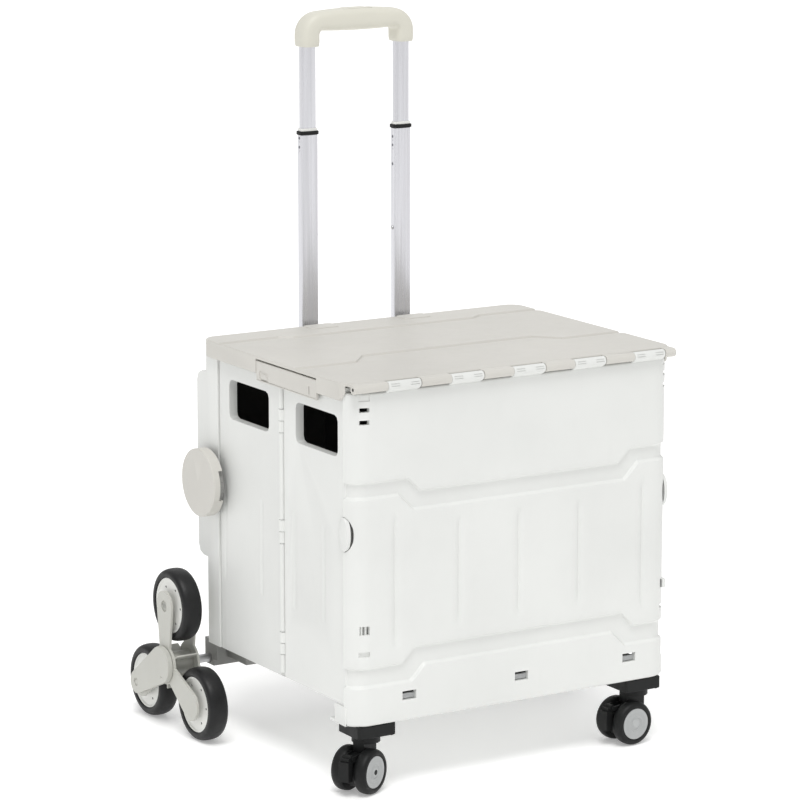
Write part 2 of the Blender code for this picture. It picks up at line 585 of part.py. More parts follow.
def make_handle():
    for side in (-1, 1):
        name, x = side_name(side), side * TUBE_X
        tube(f"mid_tube_{name}", x, MID_TUBE, MID_BOTTOM, MID_TOP, "aluminium")
        tube(f"inner_tube_{name}", x, INNER_TUBE, INNER_BOTTOM, INNER_TOP - GAP, "aluminium")
        tube(f"tube_collar_{name}", x, COLLAR, MID_TOP + GAP, COLLAR_TOP, "black_plastic", wall=COLLAR_WALL,
             radius=0.004)

    grip = block("handle_grip", (-GRIP_HALF_X, TUBE_Y - GRIP_HALF_Y, GRIP_BOTTOM),
                 (GRIP_HALF_X, TUBE_Y + GRIP_HALF_Y, GRIP_TOP + 0.03), "cream_plastic", radius=0.006, steps=3)
    cut(grip, boxes("grip_top_trim", [((-0.1, 0.3, GRIP_TOP), (0.1, 0.4, 0.9))]))
    for side in (-1, 1):
        tag = side_name(side)
        bend = (side * (GRIP_HALF_X - SHOULDER), GRIP_TOP - SHOULDER)
        corner = boxes(f"shoulder_{tag}", [((bend[0], 0.3, bend[1]), (side * 0.1, 0.4, 0.9))])
        cut(corner, rod(f"shoulder_round_{tag}", "Y", (bend[0], TUBE_Y, bend[1]), SHOULDER, 0.2, sides=32))
        cut(grip, corner)
        half_x, half_y = INNER_TUBE[0] / 2 + GAP, INNER_TUBE[1] / 2 + GAP
        cut(grip, block(f"grip_socket_{tag}", (side * TUBE_X - half_x, TUBE_Y - half_y, 0.76),
                        (side * TUBE_X + half_x, TUBE_Y + half_y, INNER_TOP), radius=0.0035))
    cut(grip, block("hand_opening", (-HAND_HALF, 0.30, 0.70), (HAND_HALF, 0.38, HAND_TOP),
                    radius=0.010, along="Y"))
    well_x, well_y = (half + GAP for half in BUTTON_HALF)
    cut(grip, block("button_well", (-well_x, TUBE_Y - well_y, WELL_BOTTOM), (well_x, TUBE_Y + well_y, 0.82),
                    radius=0.006))
    button = block("release_button", (-BUTTON_HALF[0], TUBE_Y - BUTTON_HALF[1], BUTTON_Z[0]),
                   (BUTTON_HALF[0], TUBE_Y + BUTTON_HALF[1], BUTTON_Z[1]), "cream_plastic",
                   radius=0.0058, rim=0.0015)
    pivot(button, (0.0, TUBE_Y, BUTTON_Z[1]))


# ---------------------------------------------------------------- stair-climbing wheels
SPIDER_TIP, SPIDER_HUB = 0.0180, 0.0235
CAP_FACE, CAP_HUB, CAP_TIP = 0.2645, 0.0215, 0.0135
SPIDER_BOSS, WHEEL_PIN = 0.0135, 0.004
TYRE_BED, HUB_RIM, HUB_HALF = 0.0323, 0.0320, 0.0105
WHEEL_STEPS = 20


def spider_outline(tip, hub):
    """Three arms with round tips that widen towards the hub; one arm points straight up."""
    points = []
    for arm in range(3):
        along = math.radians(90 + 120 * arm)
        centre = Vector((math.cos(along), math.sin(along))) * ARM
        for step in range(-3, 4):
            angle = along + math.radians(30 * step)
            points.append((centre.x + tip * math.cos(angle), centre.y + tip * math.sin(angle)))
        for offset in (38, 60, 82):
            angle = along + math.radians(offset)
            points.append((hub * math.cos(angle), hub * math.sin(angle)))
    return [(AXLE_Y + y, AXLE_Z + z) for y, z in points]


def teardrop_outline():
    """Cap over the hub that narrows to the rear lower wheel's pin."""
    lean = math.degrees(math.asin((CAP_HUB - CAP_TIP) / ARM))
    turn = Matrix.Rotation(math.radians(-30), 2)
    points = []
    for centre, radius, start, end, count in ((0.0, CAP_HUB, 90 - lean, 270 + lean, 12),
                                              (ARM, CAP_TIP, lean - 90, 90 - lean, 6)):
        for step in range(count + 1):
            angle = math.radians(start + (end - start) * step / count)
            points.append(turn @ Vector((centre + radius * math.cos(angle), radius * math.sin(angle))))
    return [(AXLE_Y + p.x, AXLE_Z + p.y) for p in points]


def make_stair_wheels(side):
    name = side_name(side)

    def across(pair):
        return sorted(side * value for value in pair)
    outline = spider_outline(SPIDER_TIP, SPIDER_HUB)
    spider = plate(f"stair_spider_{name}", outline, "X", *across(OUTER_PLATE), "warm_grey_plastic")
    join(spider, plate(f"inner_plate_{name}", outline, "X", *across(INNER_PLATE)))
    middle = side * (OUTER_PLATE[1] + INNER_PLATE[0]) / 2
    span = OUTER_PLATE[1] - INNER_PLATE[0] - 0.0010
    join(spider, rod(f"spider_hub_{name}", "X", (middle, AXLE_Y, AXLE_Z), SPIDER_BOSS, span))
    directions = [math.radians(90 + 120 * k) for k in range(3)]
    centres = [(AXLE_Y + ARM * math.cos(a), AXLE_Z + ARM * math.sin(a)) for a in directions]
    join(spider, *(rod(f"wheel_pin_{name}_{k}", "X", (middle, *centre), WHEEL_PIN, span, sides=12)
                   for k, centre in enumerate(centres)))
    cut(spider, rod(f"spider_bore_{name}", "X", (middle, AXLE_Y, AXLE_Z), AXLE + GAP, 0.08))
    pivot(spider, (0.0, AXLE_Y, AXLE_Z))
    cap = plate(f"hub_cap_{name}", teardrop_outline(), "X", *across((OUTER_PLATE[1] + GAP, CAP_FACE)),
                "warm_grey_plastic")
    pivot(cap, (0.0, AXLE_Y, AXLE_Z))

    tyre = [(TYRE_BED, TYRE_HALF), (0.0370, TYRE_HALF), (0.0405, TYRE_HALF - 0.0030),
            (STAIR_WHEEL, TYRE_HALF - 0.0080)]
    tyre += [(radius, -height) for radius, height in tyre[::-1]]
    bore = WHEEL_PIN + GAP
    hub = [(bore, HUB_HALF), (0.0120, HUB_HALF), (0.0130, HUB_HALF - 0.0020), (0.0290, HUB_HALF - 0.0020),
           (HUB_RIM, HUB_HALF), (HUB_RIM, -HUB_HALF), (bore, -HUB_HALF)]
    for label, centre in zip(("top", "front", "rear"), centres):
        place = (side * WHEEL_X, *centre)
        turned(f"stair_tyre_{label}_{name}", tyre, "black_rubber", place, WHEEL_STEPS)
        turned(f"stair_hub_{label}_{name}", hub, "hub_plastic", place, WHEEL_STEPS)


# ---------------------------------------------------------------- casters
MOUNT_X, MOUNT_Y, MOUNT_BOTTOM = (0.1515, 0.199), (0.0010, 0.0450), 0.0623
STEM, STEM_HOLE = 0.0055, 0.0060
LEVER_AXIS = (-0.0345, 0.0, 0.0430)
LEVER_PIN = 0.0014
CASTER_AXLE = 0.0030
CASTER_HALF = 0.007


def make_caster(side):
    name = side_name(side)
    mount = block(f"caster_block_{name}", (side * MOUNT_X[0], MOUNT_Y[0], MOUNT_BOTTOM),
                  (side * MOUNT_X[1], MOUNT_Y[1], SHELL_BOTTOM - GAP), "black_plastic", radius=0.003)
    cut(mount, rod(f"stem_hole_{name}", "Z", (side * CASTER_X, CASTER_Y, 0.064), STEM_HOLE, 0.0120))
    swivel = empty(f"caster_swivel_{name}", (side * CASTER_X, CASTER_Y, 0.0), ROOT, CASTER_TURN[side])
    make_yoke(name, swivel)
    make_brake(name, swivel)

    half = CASTER_HALF
    wheel = [(CASTER_AXLE + GAP, half - 0.0006), (0.0185, half - 0.0006), (0.0190, half), (0.0220, half),
             (CASTER_WHEEL, half - 0.0040), (CASTER_WHEEL, -half + 0.0035), (0.0230, -half),
             (CASTER_AXLE + GAP, -half)]
    for label, outward in (("near", -1), ("far", 1)):
        tip = Matrix.Rotation(-math.pi / 2 * outward, 4, "X")
        turned(f"caster_wheel_{label}_{name}", wheel, "black_plastic",
               (-CASTER_TRAIL, outward * TWIN_OFFSET, CASTER_WHEEL), 16, axis_turn=tip, parent=swivel)


def make_yoke(name, swivel):
    """Fork of one caster, in the swivel's own frame: stem, dish, hood, axle and the lever's ears."""
    wheel_centre = (-CASTER_TRAIL, 0.0, CASTER_WHEEL)
    yoke = rod(f"caster_yoke_{name}", "Y", wheel_centre, 0.0190, 0.0150, "black_plastic",
               sides=20, parent=swivel)
    join(yoke, rod(f"caster_stem_{name}", "Z", (0.0, 0.0, 0.0600), STEM, 0.0180, sides=12, parent=swivel))
    join(yoke, rod(f"caster_dish_{name}", "Z", (0.0, 0.0, 0.0575), 0.0160, 0.0070, parent=swivel))
    neck = [((-0.0150, -0.0070, 0.030), (0.0100, 0.0070, 0.0570))]
    join(yoke, boxes(f"caster_neck_{name}", neck, parent=swivel))
    join(yoke, rod(f"caster_axle_{name}", "Y", wheel_centre, CASTER_AXLE, 0.0440, sides=12, parent=swivel))
    ears = [((-0.0370, s * 0.0074, 0.0405), (-0.0100, s * 0.0054, 0.0455)) for s in (-1, 1)]
    join(yoke, boxes(f"lever_ears_{name}", ears, parent=swivel))
    join(yoke, rod(f"lever_pin_{name}", "Y", LEVER_AXIS, LEVER_PIN, 0.0130, sides=8, parent=swivel))


def make_brake(name, swivel):
    """Foot lever between the two wheels."""
    lever = rod(f"caster_brake_{name}", "Y", LEVER_AXIS, 0.0036, 0.0100, "black_plastic",
                sides=12, parent=swivel)
    paddle = [((-0.0445, -0.0065, 0.0180), (-0.0362, 0.0065, 0.0400))]
    neck = [((-0.0420, -0.0050, 0.0380), (-0.0350, 0.0050, 0.0440))]
    join(lever, boxes(f"lever_paddle_{name}", paddle, parent=swivel))
    join(lever, boxes(f"lever_neck_{name}", neck, parent=swivel))
    cut(lever, rod(f"lever_bore_{name}", "Y", LEVER_AXIS, LEVER_PIN + GAP, 0.0200, sides=8, parent=swivel))


# ---------------------------------------------------------------- side locks
DRUM_X, DRUM, DRUM_LENGTH = 0.2165, 0.0335, 0.0095
KNOB_X, KNOB, KNOB_LENGTH = 0.2207, 0.0390, 0.0136
LOCK_PIN = 0.0042


def make_side_lock(side):
    name = side_name(side)

    def turned_part(label, x, radius, length, sides, finish=None):
        return rod(f"{label}_{name}", "X", (side * x, LOCK_Y, LOCK_Z), radius, length, finish, sides=sides)
    drum = turned_part("lock_drum", DRUM_X, DRUM, DRUM_LENGTH, 24, "grey_plastic")
    join(drum, turned_part("lock_stem", 0.2110, 0.0060, 0.0064, 12))
    knob = turned_part("lock_knob", KNOB_X, KNOB, KNOB_LENGTH, 32, "beige_plastic")
    cut(knob, turned_part("lock_hollow", DRUM_X, DRUM + 0.0007, DRUM_LENGTH + 0.0010, 24))
    cut(knob, boxes(f"lock_slot_{name}", [((side * 0.2100, 0.262, 0.2760), (side * 0.2195, 0.285, 0.3100))]))
    cut(knob, turned_part("lock_pivot_bore", 0.2220, LOCK_PIN + 0.0004, 0.0080, 12))
    join(drum, turned_part("lock_pivot", 0.2225, LOCK_PIN, 0.0060, 12))
    pivot(knob, (side * KNOB_X, LOCK_Y, LOCK_Z))


make_front_shell()
make_back_shell()
make_floor()
make_lid()
make_handle()
for trolley_side in (-1, 1):
    make_side(trolley_side)
    make_stair_wheels(trolley_side)
    make_caster(trolley_side)
    make_side_lock(trolley_side)
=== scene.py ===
import json
import math

import bmesh
import bpy
import numpy as np
from mathutils import Matrix, Vector


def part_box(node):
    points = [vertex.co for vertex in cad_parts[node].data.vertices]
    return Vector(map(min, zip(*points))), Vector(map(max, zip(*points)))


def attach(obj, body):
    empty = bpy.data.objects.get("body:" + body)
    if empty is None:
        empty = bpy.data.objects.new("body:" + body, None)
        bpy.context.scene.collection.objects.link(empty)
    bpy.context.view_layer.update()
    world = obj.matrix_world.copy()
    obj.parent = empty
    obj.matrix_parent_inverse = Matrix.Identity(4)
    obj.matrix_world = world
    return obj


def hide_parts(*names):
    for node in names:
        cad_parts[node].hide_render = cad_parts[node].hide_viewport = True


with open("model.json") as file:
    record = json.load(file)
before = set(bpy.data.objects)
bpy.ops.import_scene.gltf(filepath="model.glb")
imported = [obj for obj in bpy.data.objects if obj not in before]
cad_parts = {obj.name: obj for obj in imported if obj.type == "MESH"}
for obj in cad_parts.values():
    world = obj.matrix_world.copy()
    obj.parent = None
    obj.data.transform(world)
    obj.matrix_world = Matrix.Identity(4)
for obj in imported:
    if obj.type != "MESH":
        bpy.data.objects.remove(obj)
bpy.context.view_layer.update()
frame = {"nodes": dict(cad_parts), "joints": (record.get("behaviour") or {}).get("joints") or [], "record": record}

NODES = frame["nodes"]
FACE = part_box("lid")[1].y - 0.325      # the crate's front face; depths below are measured back from it
SIDES = ((-1, "left"), (1, "right"))
HALF_PI = math.pi / 2


# ---------------------------------------------------------------- materials
class Nodes:
    """A material's node tree, with its Principled shader and short ways to add and link nodes."""

    def __init__(self, name):
        self.material = bpy.data.materials.new(name)
        self.material.use_nodes = True
        self.tree = self.material.node_tree
        self.shader = self.tree.nodes["Principled BSDF"]
        self.place = self.tree.nodes.new("ShaderNodeTexCoord").outputs["Object"]

    def add(self, kind, settings=None, **inputs):
        node = self.tree.nodes.new(kind)
        for key, value in (settings or {}).items():
            setattr(node, key, value)
        for key, value in inputs.items():
            self.put(node.inputs[key.replace("_", " ")], value)
        return node

    def put(self, socket, value):
        if isinstance(value, bpy.types.NodeSocket):
            self.tree.links.new(value, socket)
        else:
            socket.default_value = value

    def noise(self, scale, detail=3.0, roughness=0.5, stretch=None):
        place = self.place
        if stretch:
            place = self.add("ShaderNodeMapping", Vector=place, Scale=stretch).outputs["Vector"]
        return self.add("ShaderNodeTexNoise", Vector=place, Scale=scale, Detail=detail, Roughness=roughness)

    def spread(self, value, low, high, start=0.3, end=0.7):
        """Maps a noise value to a range."""
        node = self.add("ShaderNodeMapRange", Value=value)
        for key, number in zip(("From Min", "From Max", "To Min", "To Max"), (start, end, low, high)):
            node.inputs[key].default_value = number
        return node.outputs["Result"]

    def mix(self, factor, first, second):
        node = self.add("ShaderNodeMix", {"data_type": "RGBA"})
        self.put(node.inputs["Factor"], factor)
        self.put(node.inputs[6], first)
        self.put(node.inputs[7], second)
        return node.outputs[2]

    def bump(self, height, strength, distance, normal=None):
        node = self.add("ShaderNodeBump", Height=height, Strength=strength, Distance=distance)
        if normal:
            self.put(node.inputs["Normal"], normal)
        return node.outputs["Normal"]


def shade(colour, factor):
    return (*(min(1.0, c * factor) for c in colour), 1.0)


def plastic(name, colour, roughness=0.42, grain=1400.0, texture=0.10, variation=0.035, scuff=0.06, specular=0.45):
    """Moulded plastic: slow colour drift, fine eroded grain, faint flow waviness and worn light edges."""
    n = Nodes(name)
    drift = n.noise(7.0, 4.0).outputs["Fac"]
    base = n.mix(n.spread(drift, 0.0, 1.0), shade(colour, 1.0 - variation), shade(colour, 1.0 + variation))
    marks = n.noise(60.0, 6.0, 0.7, (1.0, 1.0, 0.35)).outputs["Fac"]
    base = n.mix(n.spread(marks, 0.0, scuff, 0.55, 0.8), base, shade(colour, 0.72))
    edges = n.add("ShaderNodeNewGeometry").outputs["Pointiness"]
    base = n.mix(n.spread(edges, 0.0, 0.35, 0.52, 0.60), base, shade(colour, 1.12))
    n.put(n.shader.inputs["Base Color"], base)
    n.put(n.shader.inputs["Roughness"], n.spread(marks, roughness - 0.05, roughness + 0.07))
    waves = n.bump(n.noise(28.0, 2.0).outputs["Fac"], 0.10, 0.0012)
    n.put(n.shader.inputs["Normal"], n.bump(n.noise(grain, 2.0).outputs["Fac"], texture, 0.0003, waves))
    n.shader.inputs["Specular IOR Level"].default_value = specular
    return n.material


def rubber(name, colour):
    n = Nodes(name)
    drift = n.noise(35.0, 5.0, 0.6).outputs["Fac"]
    base = n.mix(n.spread(drift, 0.0, 1.0), shade(colour, 0.75), shade(colour, 1.35))
    dust = n.noise(240.0, 6.0, 0.75).outputs["Fac"]
    base = n.mix(n.spread(dust, 0.0, 0.08, 0.58, 0.80), base, (0.08, 0.078, 0.075, 1.0))
    n.put(n.shader.inputs["Base Color"], base)
    n.put(n.shader.inputs["Roughness"], n.spread(dust, 0.38, 0.54))
    n.put(n.shader.inputs["Normal"], n.bump(n.noise(900.0, 3.0).outputs["Fac"], 0.16, 0.0004))
    n.shader.inputs["Specular IOR Level"].default_value = 0.32
    return n.material


def metal(name, colour, roughness, stretch, strength=0.10):
    """Drawn or brushed metal, with its scratches along the axis where stretch is small."""
    n = Nodes(name)
    lines = n.noise(420.0, 4.0, 0.6, stretch).outputs["Fac"]
    cloud = n.noise(12.0, 3.0).outputs["Fac"]
    base = n.mix(n.spread(lines, 0.0, 0.6), shade(colour, 1.0), shade(colour, 0.86))
    base = n.mix(n.spread(cloud, 0.0, 0.25), base, shade(colour, 0.92))
    n.put(n.shader.inputs["Base Color"], base)
    n.put(n.shader.inputs["Roughness"], n.spread(lines, roughness - 0.05, roughness + 0.09))
    n.put(n.shader.inputs["Normal"], n.bump(lines, strength, 0.0002))
    n.shader.inputs["Metallic"].default_value = 1.0
    return n.material


LOOKS = {
    "white_plastic": plastic("white_plastic_look", (0.740, 0.748, 0.728), 0.40),
    "beige_plastic": plastic("beige_plastic_look", (0.605, 0.590, 0.550), 0.46, texture=0.16),
    "cream_plastic": plastic("cream_plastic_look", (0.67, 0.655, 0.575), 0.42, texture=0.14),
    "warm_grey_plastic": plastic("warm_grey_plastic_look", (0.510, 0.510, 0.470), 0.40, texture=0.12),
    "grey_plastic": plastic("grey_plastic_look", (0.27, 0.27, 0.26), 0.50),
    "black_plastic": plastic("black_plastic_look", (0.010, 0.0105, 0.0105), 0.46, variation=0.25, texture=0.14,
                             specular=0.22),
    "black_rubber": rubber("black_rubber_look", (0.0085, 0.0085, 0.009)),
    "hub_plastic": plastic("hub_plastic_look", (0.80, 0.80, 0.77), 0.38),
    "aluminium": metal("aluminium_look", (0.66, 0.66, 0.69), 0.26, (1.0, 1.0, 0.01)),
    "steel": metal("steel_look", (0.56, 0.56, 0.57), 0.33, (0.02, 1.0, 1.0)),
}
# Near-black material for painted shade on the crate's inner faces, which are white plastic like the rest.
PAINTED_INSIDE_SHADE = plastic("painted_inside_shade_look", (0.045, 0.045, 0.043), 0.55, variation=0.15)
CAP_GREY = plastic("cap_grey_look", (0.42, 0.43, 0.43), 0.38, texture=0.08)


# ---------------------------------------------------------------- mesh helpers
def new_object(name, bm, flat=False, angle=38.0):
    bmesh.ops.recalc_face_normals(bm, faces=bm.faces)
    mesh = bpy.data.meshes.new(name)
    bm.to_mesh(mesh)
    bm.free()
    obj = bpy.data.objects.new(name, mesh)
    bpy.context.scene.collection.objects.link(obj)
    if not flat:
        mesh.shade_smooth()
        mesh.set_sharp_from_angle(angle=math.radians(angle))
    return obj


def dress(obj, body, slot, nodes=(), look=None):
    """Gives a finished piece its material, the look named by slot unless another look is given, parents it to its
    body's empty and hides the CAD nodes it stands for.
    """
    obj.data.materials.clear()
    obj.data.materials.append(look or LOOKS[slot])
    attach(obj, body)
    if nodes:
        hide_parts(*nodes)
    return obj


def add_box(bm, low, high):
    low, high = Vector(low), Vector(high)
    size = Vector(abs(a - b) for a, b in zip(low, high))
    place = Matrix.Translation((low + high) / 2) @ Matrix.Diagonal((*size, 1.0))
    return bmesh.ops.create_cube(bm, size=1.0, matrix=place)["verts"]


AXIS_TURN = {"X": Matrix.Rotation(HALF_PI, 4, "Y"), "Y": Matrix.Rotation(HALF_PI, 4, "X"), "Z": Matrix.Identity(4)}


def add_rod(bm, axis, centre, radius, length, sides=40):
    return bmesh.ops.create_cone(bm, cap_ends=True, segments=sides, radius1=radius, radius2=radius, depth=length,
                                 matrix=Matrix.Translation(centre) @ AXIS_TURN[axis])["verts"]


def at(x, back, z):
    """A point from its depth behind the crate's front face."""
    return Vector((x, FACE + back, z))


def box_object(name, *corners):
    bm = bmesh.new()
    for low, high in corners:
        add_box(bm, at(*low), at(*high))
    return new_object(name, bm, flat=True)


def rod_object(name, axis, centre, radius, length, sides=40, squash=None):
    bm = bmesh.new()
    verts = add_rod(bm, axis, at(*centre), radius, length, sides)
    if squash:
        bmesh.ops.scale(bm, vec=squash, verts=verts, space=Matrix.Translation(-at(*centre)))
    return new_object(name, bm, flat=True)


def block_object(name, low, high, radius, along="Z", rim=0.0, steps=8):
    """Box with rounded edges along one axis and a smaller rim round its two ends."""
    bm = bmesh.new()
    low, high = at(*low), at(*high)
    add_box(bm, low, high)
    axis = "XYZ".index(along)
    straight = [e for e in bm.edges if abs((e.verts[0].co - e.verts[1].co)[axis]) > 1e-9]
    bmesh.ops.bevel(bm, geom=straight, offset=radius, segments=steps, profile=0.5, affect="EDGES")
    if rim:
        ends = (min(low[axis], high[axis]), max(low[axis], high[axis]))
        edges = [e for e in bm.edges if any(all(abs(v.co[axis] - end) < 1e-6 for v in e.verts) for end in ends)]
        bmesh.ops.bevel(bm, geom=edges, offset=rim, segments=4, profile=0.5, affect="EDGES")
    return new_object(name, bm, flat=True)


def plate_object(name, outline, facing, low, high):
    """Flat outline pushed from low to high along the axis that it faces; outline is (depth, z) or (x, z)."""
    bm = bmesh.new()

    def point(a, b, c):
        return at(c, a, b) if facing == "X" else at(a, c, b)
    face = bm.faces.new([bm.verts.new(point(a, b, low)) for a, b in outline])
    out = bmesh.ops.extrude_face_region(bm, geom=[face])["geom"]
    shift = point(0, 0, high) - point(0, 0, low)
    bmesh.ops.translate(bm, vec=shift, verts=[v for v in out if isinstance(v, bmesh.types.BMVert)])
    return new_object(name, bm, flat=True)


def turned_object(name, profile, centre, axis="X", outward=1, steps=96, bump=None):
    """Closed profile of (radius, offset along the axis) turned round the axis through centre."""
    bm = bmesh.new()
    rings = []
    for k in range(steps):
        angle = 2 * math.pi * k / steps
        ring = []
        for i, (radius, offset) in enumerate(profile):
            if bump:
                radius, offset = bump(i, k, radius, offset)
            a, b, c = radius * math.cos(angle), radius * math.sin(angle), outward * offset
            ring.append(bm.verts.new(Vector(centre) + Vector({"X": (c, a, b), "Y": (a, c, b), "Z": (a, b, c)}[axis])))
        rings.append(ring)
    count = len(profile)
    for k, ring in enumerate(rings):
        other = rings[(k + 1) % steps]
        for i in range(count):
            j = (i + 1) % count
            bm.faces.new((ring[i], ring[j], other[j], other[i]))
    bmesh.ops.remove_doubles(bm, verts=bm.verts, dist=1e-7)
    return new_object(name, bm)


def carve(base, cutters=(), joins=()):
    """Applies unions then cuts to base, and removes the tools."""
    for tool, operation in [(j, "UNION") for j in joins] + [(c, "DIFFERENCE") for c in cutters]:
        boolean = base.modifiers.new(tool.name, "BOOLEAN")
        boolean.operation = operation
        boolean.object = tool
    made = bpy.data.meshes.new_from_object(base.evaluated_get(bpy.context.evaluated_depsgraph_get()))
    base.modifiers.clear()
    base.data = made
    for tool in (*joins, *cutters):
        bpy.data.objects.remove(tool)
    return base


def soften(obj, width=0.0006, segments=2, angle=32.0):
    """Rounds the hard edges of a carved piece and smooths its shading."""
    bm = bmesh.new()
    bm.from_mesh(obj.data)
    bmesh.ops.remove_doubles(bm, verts=bm.verts, dist=1e-6)
    bmesh.ops.dissolve_limit(bm, angle_limit=math.radians(0.6), verts=bm.verts, edges=bm.edges)
    bm.to_mesh(obj.data)
    bm.free()
    bevel = obj.modifiers.new("soft_edges", "BEVEL")
    bevel.width = width
    bevel.segments = segments
    bevel.limit_method = "ANGLE"
    bevel.angle_limit = math.radians(angle)
    bevel.use_clamp_overlap = True
    bevel.harden_normals = False
    made = bpy.data.meshes.new_from_object(obj.evaluated_get(bpy.context.evaluated_depsgraph_get()))
    obj.modifiers.clear()
    obj.data = made
    made.shade_smooth()
    made.set_sharp_from_angle(angle=math.radians(42))
    normals = obj.modifiers.new("face_weight", "WEIGHTED_NORMAL")
    normals.keep_sharp = True
    return obj


def from_node(node, name=None):
    """A copy of a CAD node's mesh, as a new object to work on."""
    mesh = NODES[node].data.copy()
    obj = bpy.data.objects.new(name or f"{node}_piece", mesh)
    bpy.context.scene.collection.objects.link(obj)
    bm = bmesh.new()
    bm.from_mesh(mesh)
    bmesh.ops.remove_doubles(bm, verts=bm.verts, dist=1e-6)
    bm.to_mesh(mesh)
    bm.free()
    return obj


def body_of_node(node):
    for body, names in frame["record"]["behaviour"]["bodies"].items():
        if node in names:
            return body
    return "root"


def softened_node(node, slot, width=0.0006, segments=2, cutters=(), joins=(), look=None):
    obj = from_node(node)
    if cutters or joins:
        carve(obj, cutters, joins)
    soften(obj, width, segments)
    return dress(obj, body_of_node(node), slot, (node,), look)


def ease(t):
    t = np.clip(t, 0.0, 1.0)
    return t * t * (3 - 2 * t)


def walled_grid(name, outer, inner, open_cell=None):
    """Closed shell between two grids of points, with openings where a cell is left open."""
    rows, columns = outer.shape[:2]
    solid_cell = np.ones((rows - 1, columns - 1), bool)
    if open_cell is not None:
        solid_cell &= ~open_cell
    index = np.arange(rows * columns).reshape(rows, columns)
    far = index + rows * columns
    faces = []
    for r, c in zip(*np.nonzero(solid_cell)):
        a, b, d, e = index[r, c], index[r, c + 1], index[r + 1, c + 1], index[r + 1, c]
        faces.append((a, b, d, e))
        faces.append((far[r + 1, c], far[r + 1, c + 1], far[r, c + 1], far[r, c]))
        for (dr, dc), (p, q) in (((-1, 0), ((r, c), (r, c + 1))), ((1, 0), ((r + 1, c + 1), (r + 1, c))),
                                 ((0, -1), ((r + 1, c), (r, c))), ((0, 1), ((r, c + 1), (r + 1, c + 1)))):
            rr, cc = r + dr, c + dc
            if not (0 <= rr < rows - 1 and 0 <= cc < columns - 1) or not solid_cell[rr, cc]:
                faces.append((index[q], index[p], far[p], far[q]))
    mesh = bpy.data.meshes.new(name)
    mesh.from_pydata(np.concatenate([outer.reshape(-1, 3), inner.reshape(-1, 3)]).tolist(), [],
                     [tuple(int(i) for i in face) for face in faces])
    bm = bmesh.new()
    bm.from_mesh(mesh)
    loose = [v for v in bm.verts if not v.link_faces]
    bmesh.ops.delete(bm, geom=loose, context="VERTS")
    bpy.data.meshes.remove(mesh)
    return new_object(name, bm, angle=42.0)


def joined(first, *others):
    """Adds other objects' meshes to the first as separate bodies of one piece."""
    bm = bmesh.new()
    for obj in (first, *others):
        bm.from_mesh(obj.data)
    mesh = bpy.data.meshes.new(first.name)
    bm.to_mesh(mesh)
    bm.free()
    first.data = mesh
    for obj in others:
        bpy.data.objects.remove(obj)
    mesh.set_sharp_from_angle(angle=math.radians(42))
    return first


# ---------------------------------------------------------------- front shell
CORNER, SEAM, WALL = 0.025, 0.0150, 0.0035
SHELL_HALF, SHELL_LOW, SHELL_HIGH, SHELL_RIM = 0.210, 0.0763, 0.4425, 0.0025
GUTTER_DEPTH, GUTTER_RAMP = 0.0040, 0.0021
PANEL_MIDDLE = 0.0078                  # the panel's features sit this far right of the crate's middle
GROOVES = ((-0.1526, 0.157, 0.308), (-0.0712, 0.172, 0.297), (0.0060, 0.172, 0.297), (0.0853, 0.172, 0.297),
           (0.1707, 0.157, 0.308))
GROOVE_HALF, GROOVE_DEPTH = 0.0090, 0.0028
SLOT_X, SLOT_HALF, SLOT_Z = (-0.1354, 0.0099, 0.1541), 0.0088, (0.0992, 0.1094)
CORNER_SLOTS = ((0.4085, 0.4135), (0.4220, 0.4270), (0.1782, 0.1880))
SHALLOW_SLOT = (0.1540, 0.1592)
CORNER_SLOT_X = {-1: (0.1965, 0.1852), 1: (0.2085, 0.1985)}      # outer and inner |x| on each side
CLIPS = [(0.0138 + 0.0795 * k - 0.0205, 0.0138 + 0.0795 * k + 0.0205) for k in range(-2, 3)]
LID_AXIS = (-0.003, 0.4487)


def stepped(x, middle, side, half):
    """Height of a gutter's edge: level in the middle, then a 45 degree ramp to its height at the sides."""
    return middle + (side - middle) * np.clip((np.abs(x) - half) / abs(side - middle), 0.0, 1.0)


def filled_in(values, longest):
    values = sorted(set(np.round(values, 6)))
    out = [values[0]]
    for v in values[1:]:
        pieces = max(1, math.ceil((v - out[-1]) / longest))
        out += list(np.linspace(out[-1], v, pieces + 1)[1:])
    return np.array(out)


def oval_height(name):
    low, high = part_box(f"oval_button_{name}")
    return (low.z + high.z) / 2


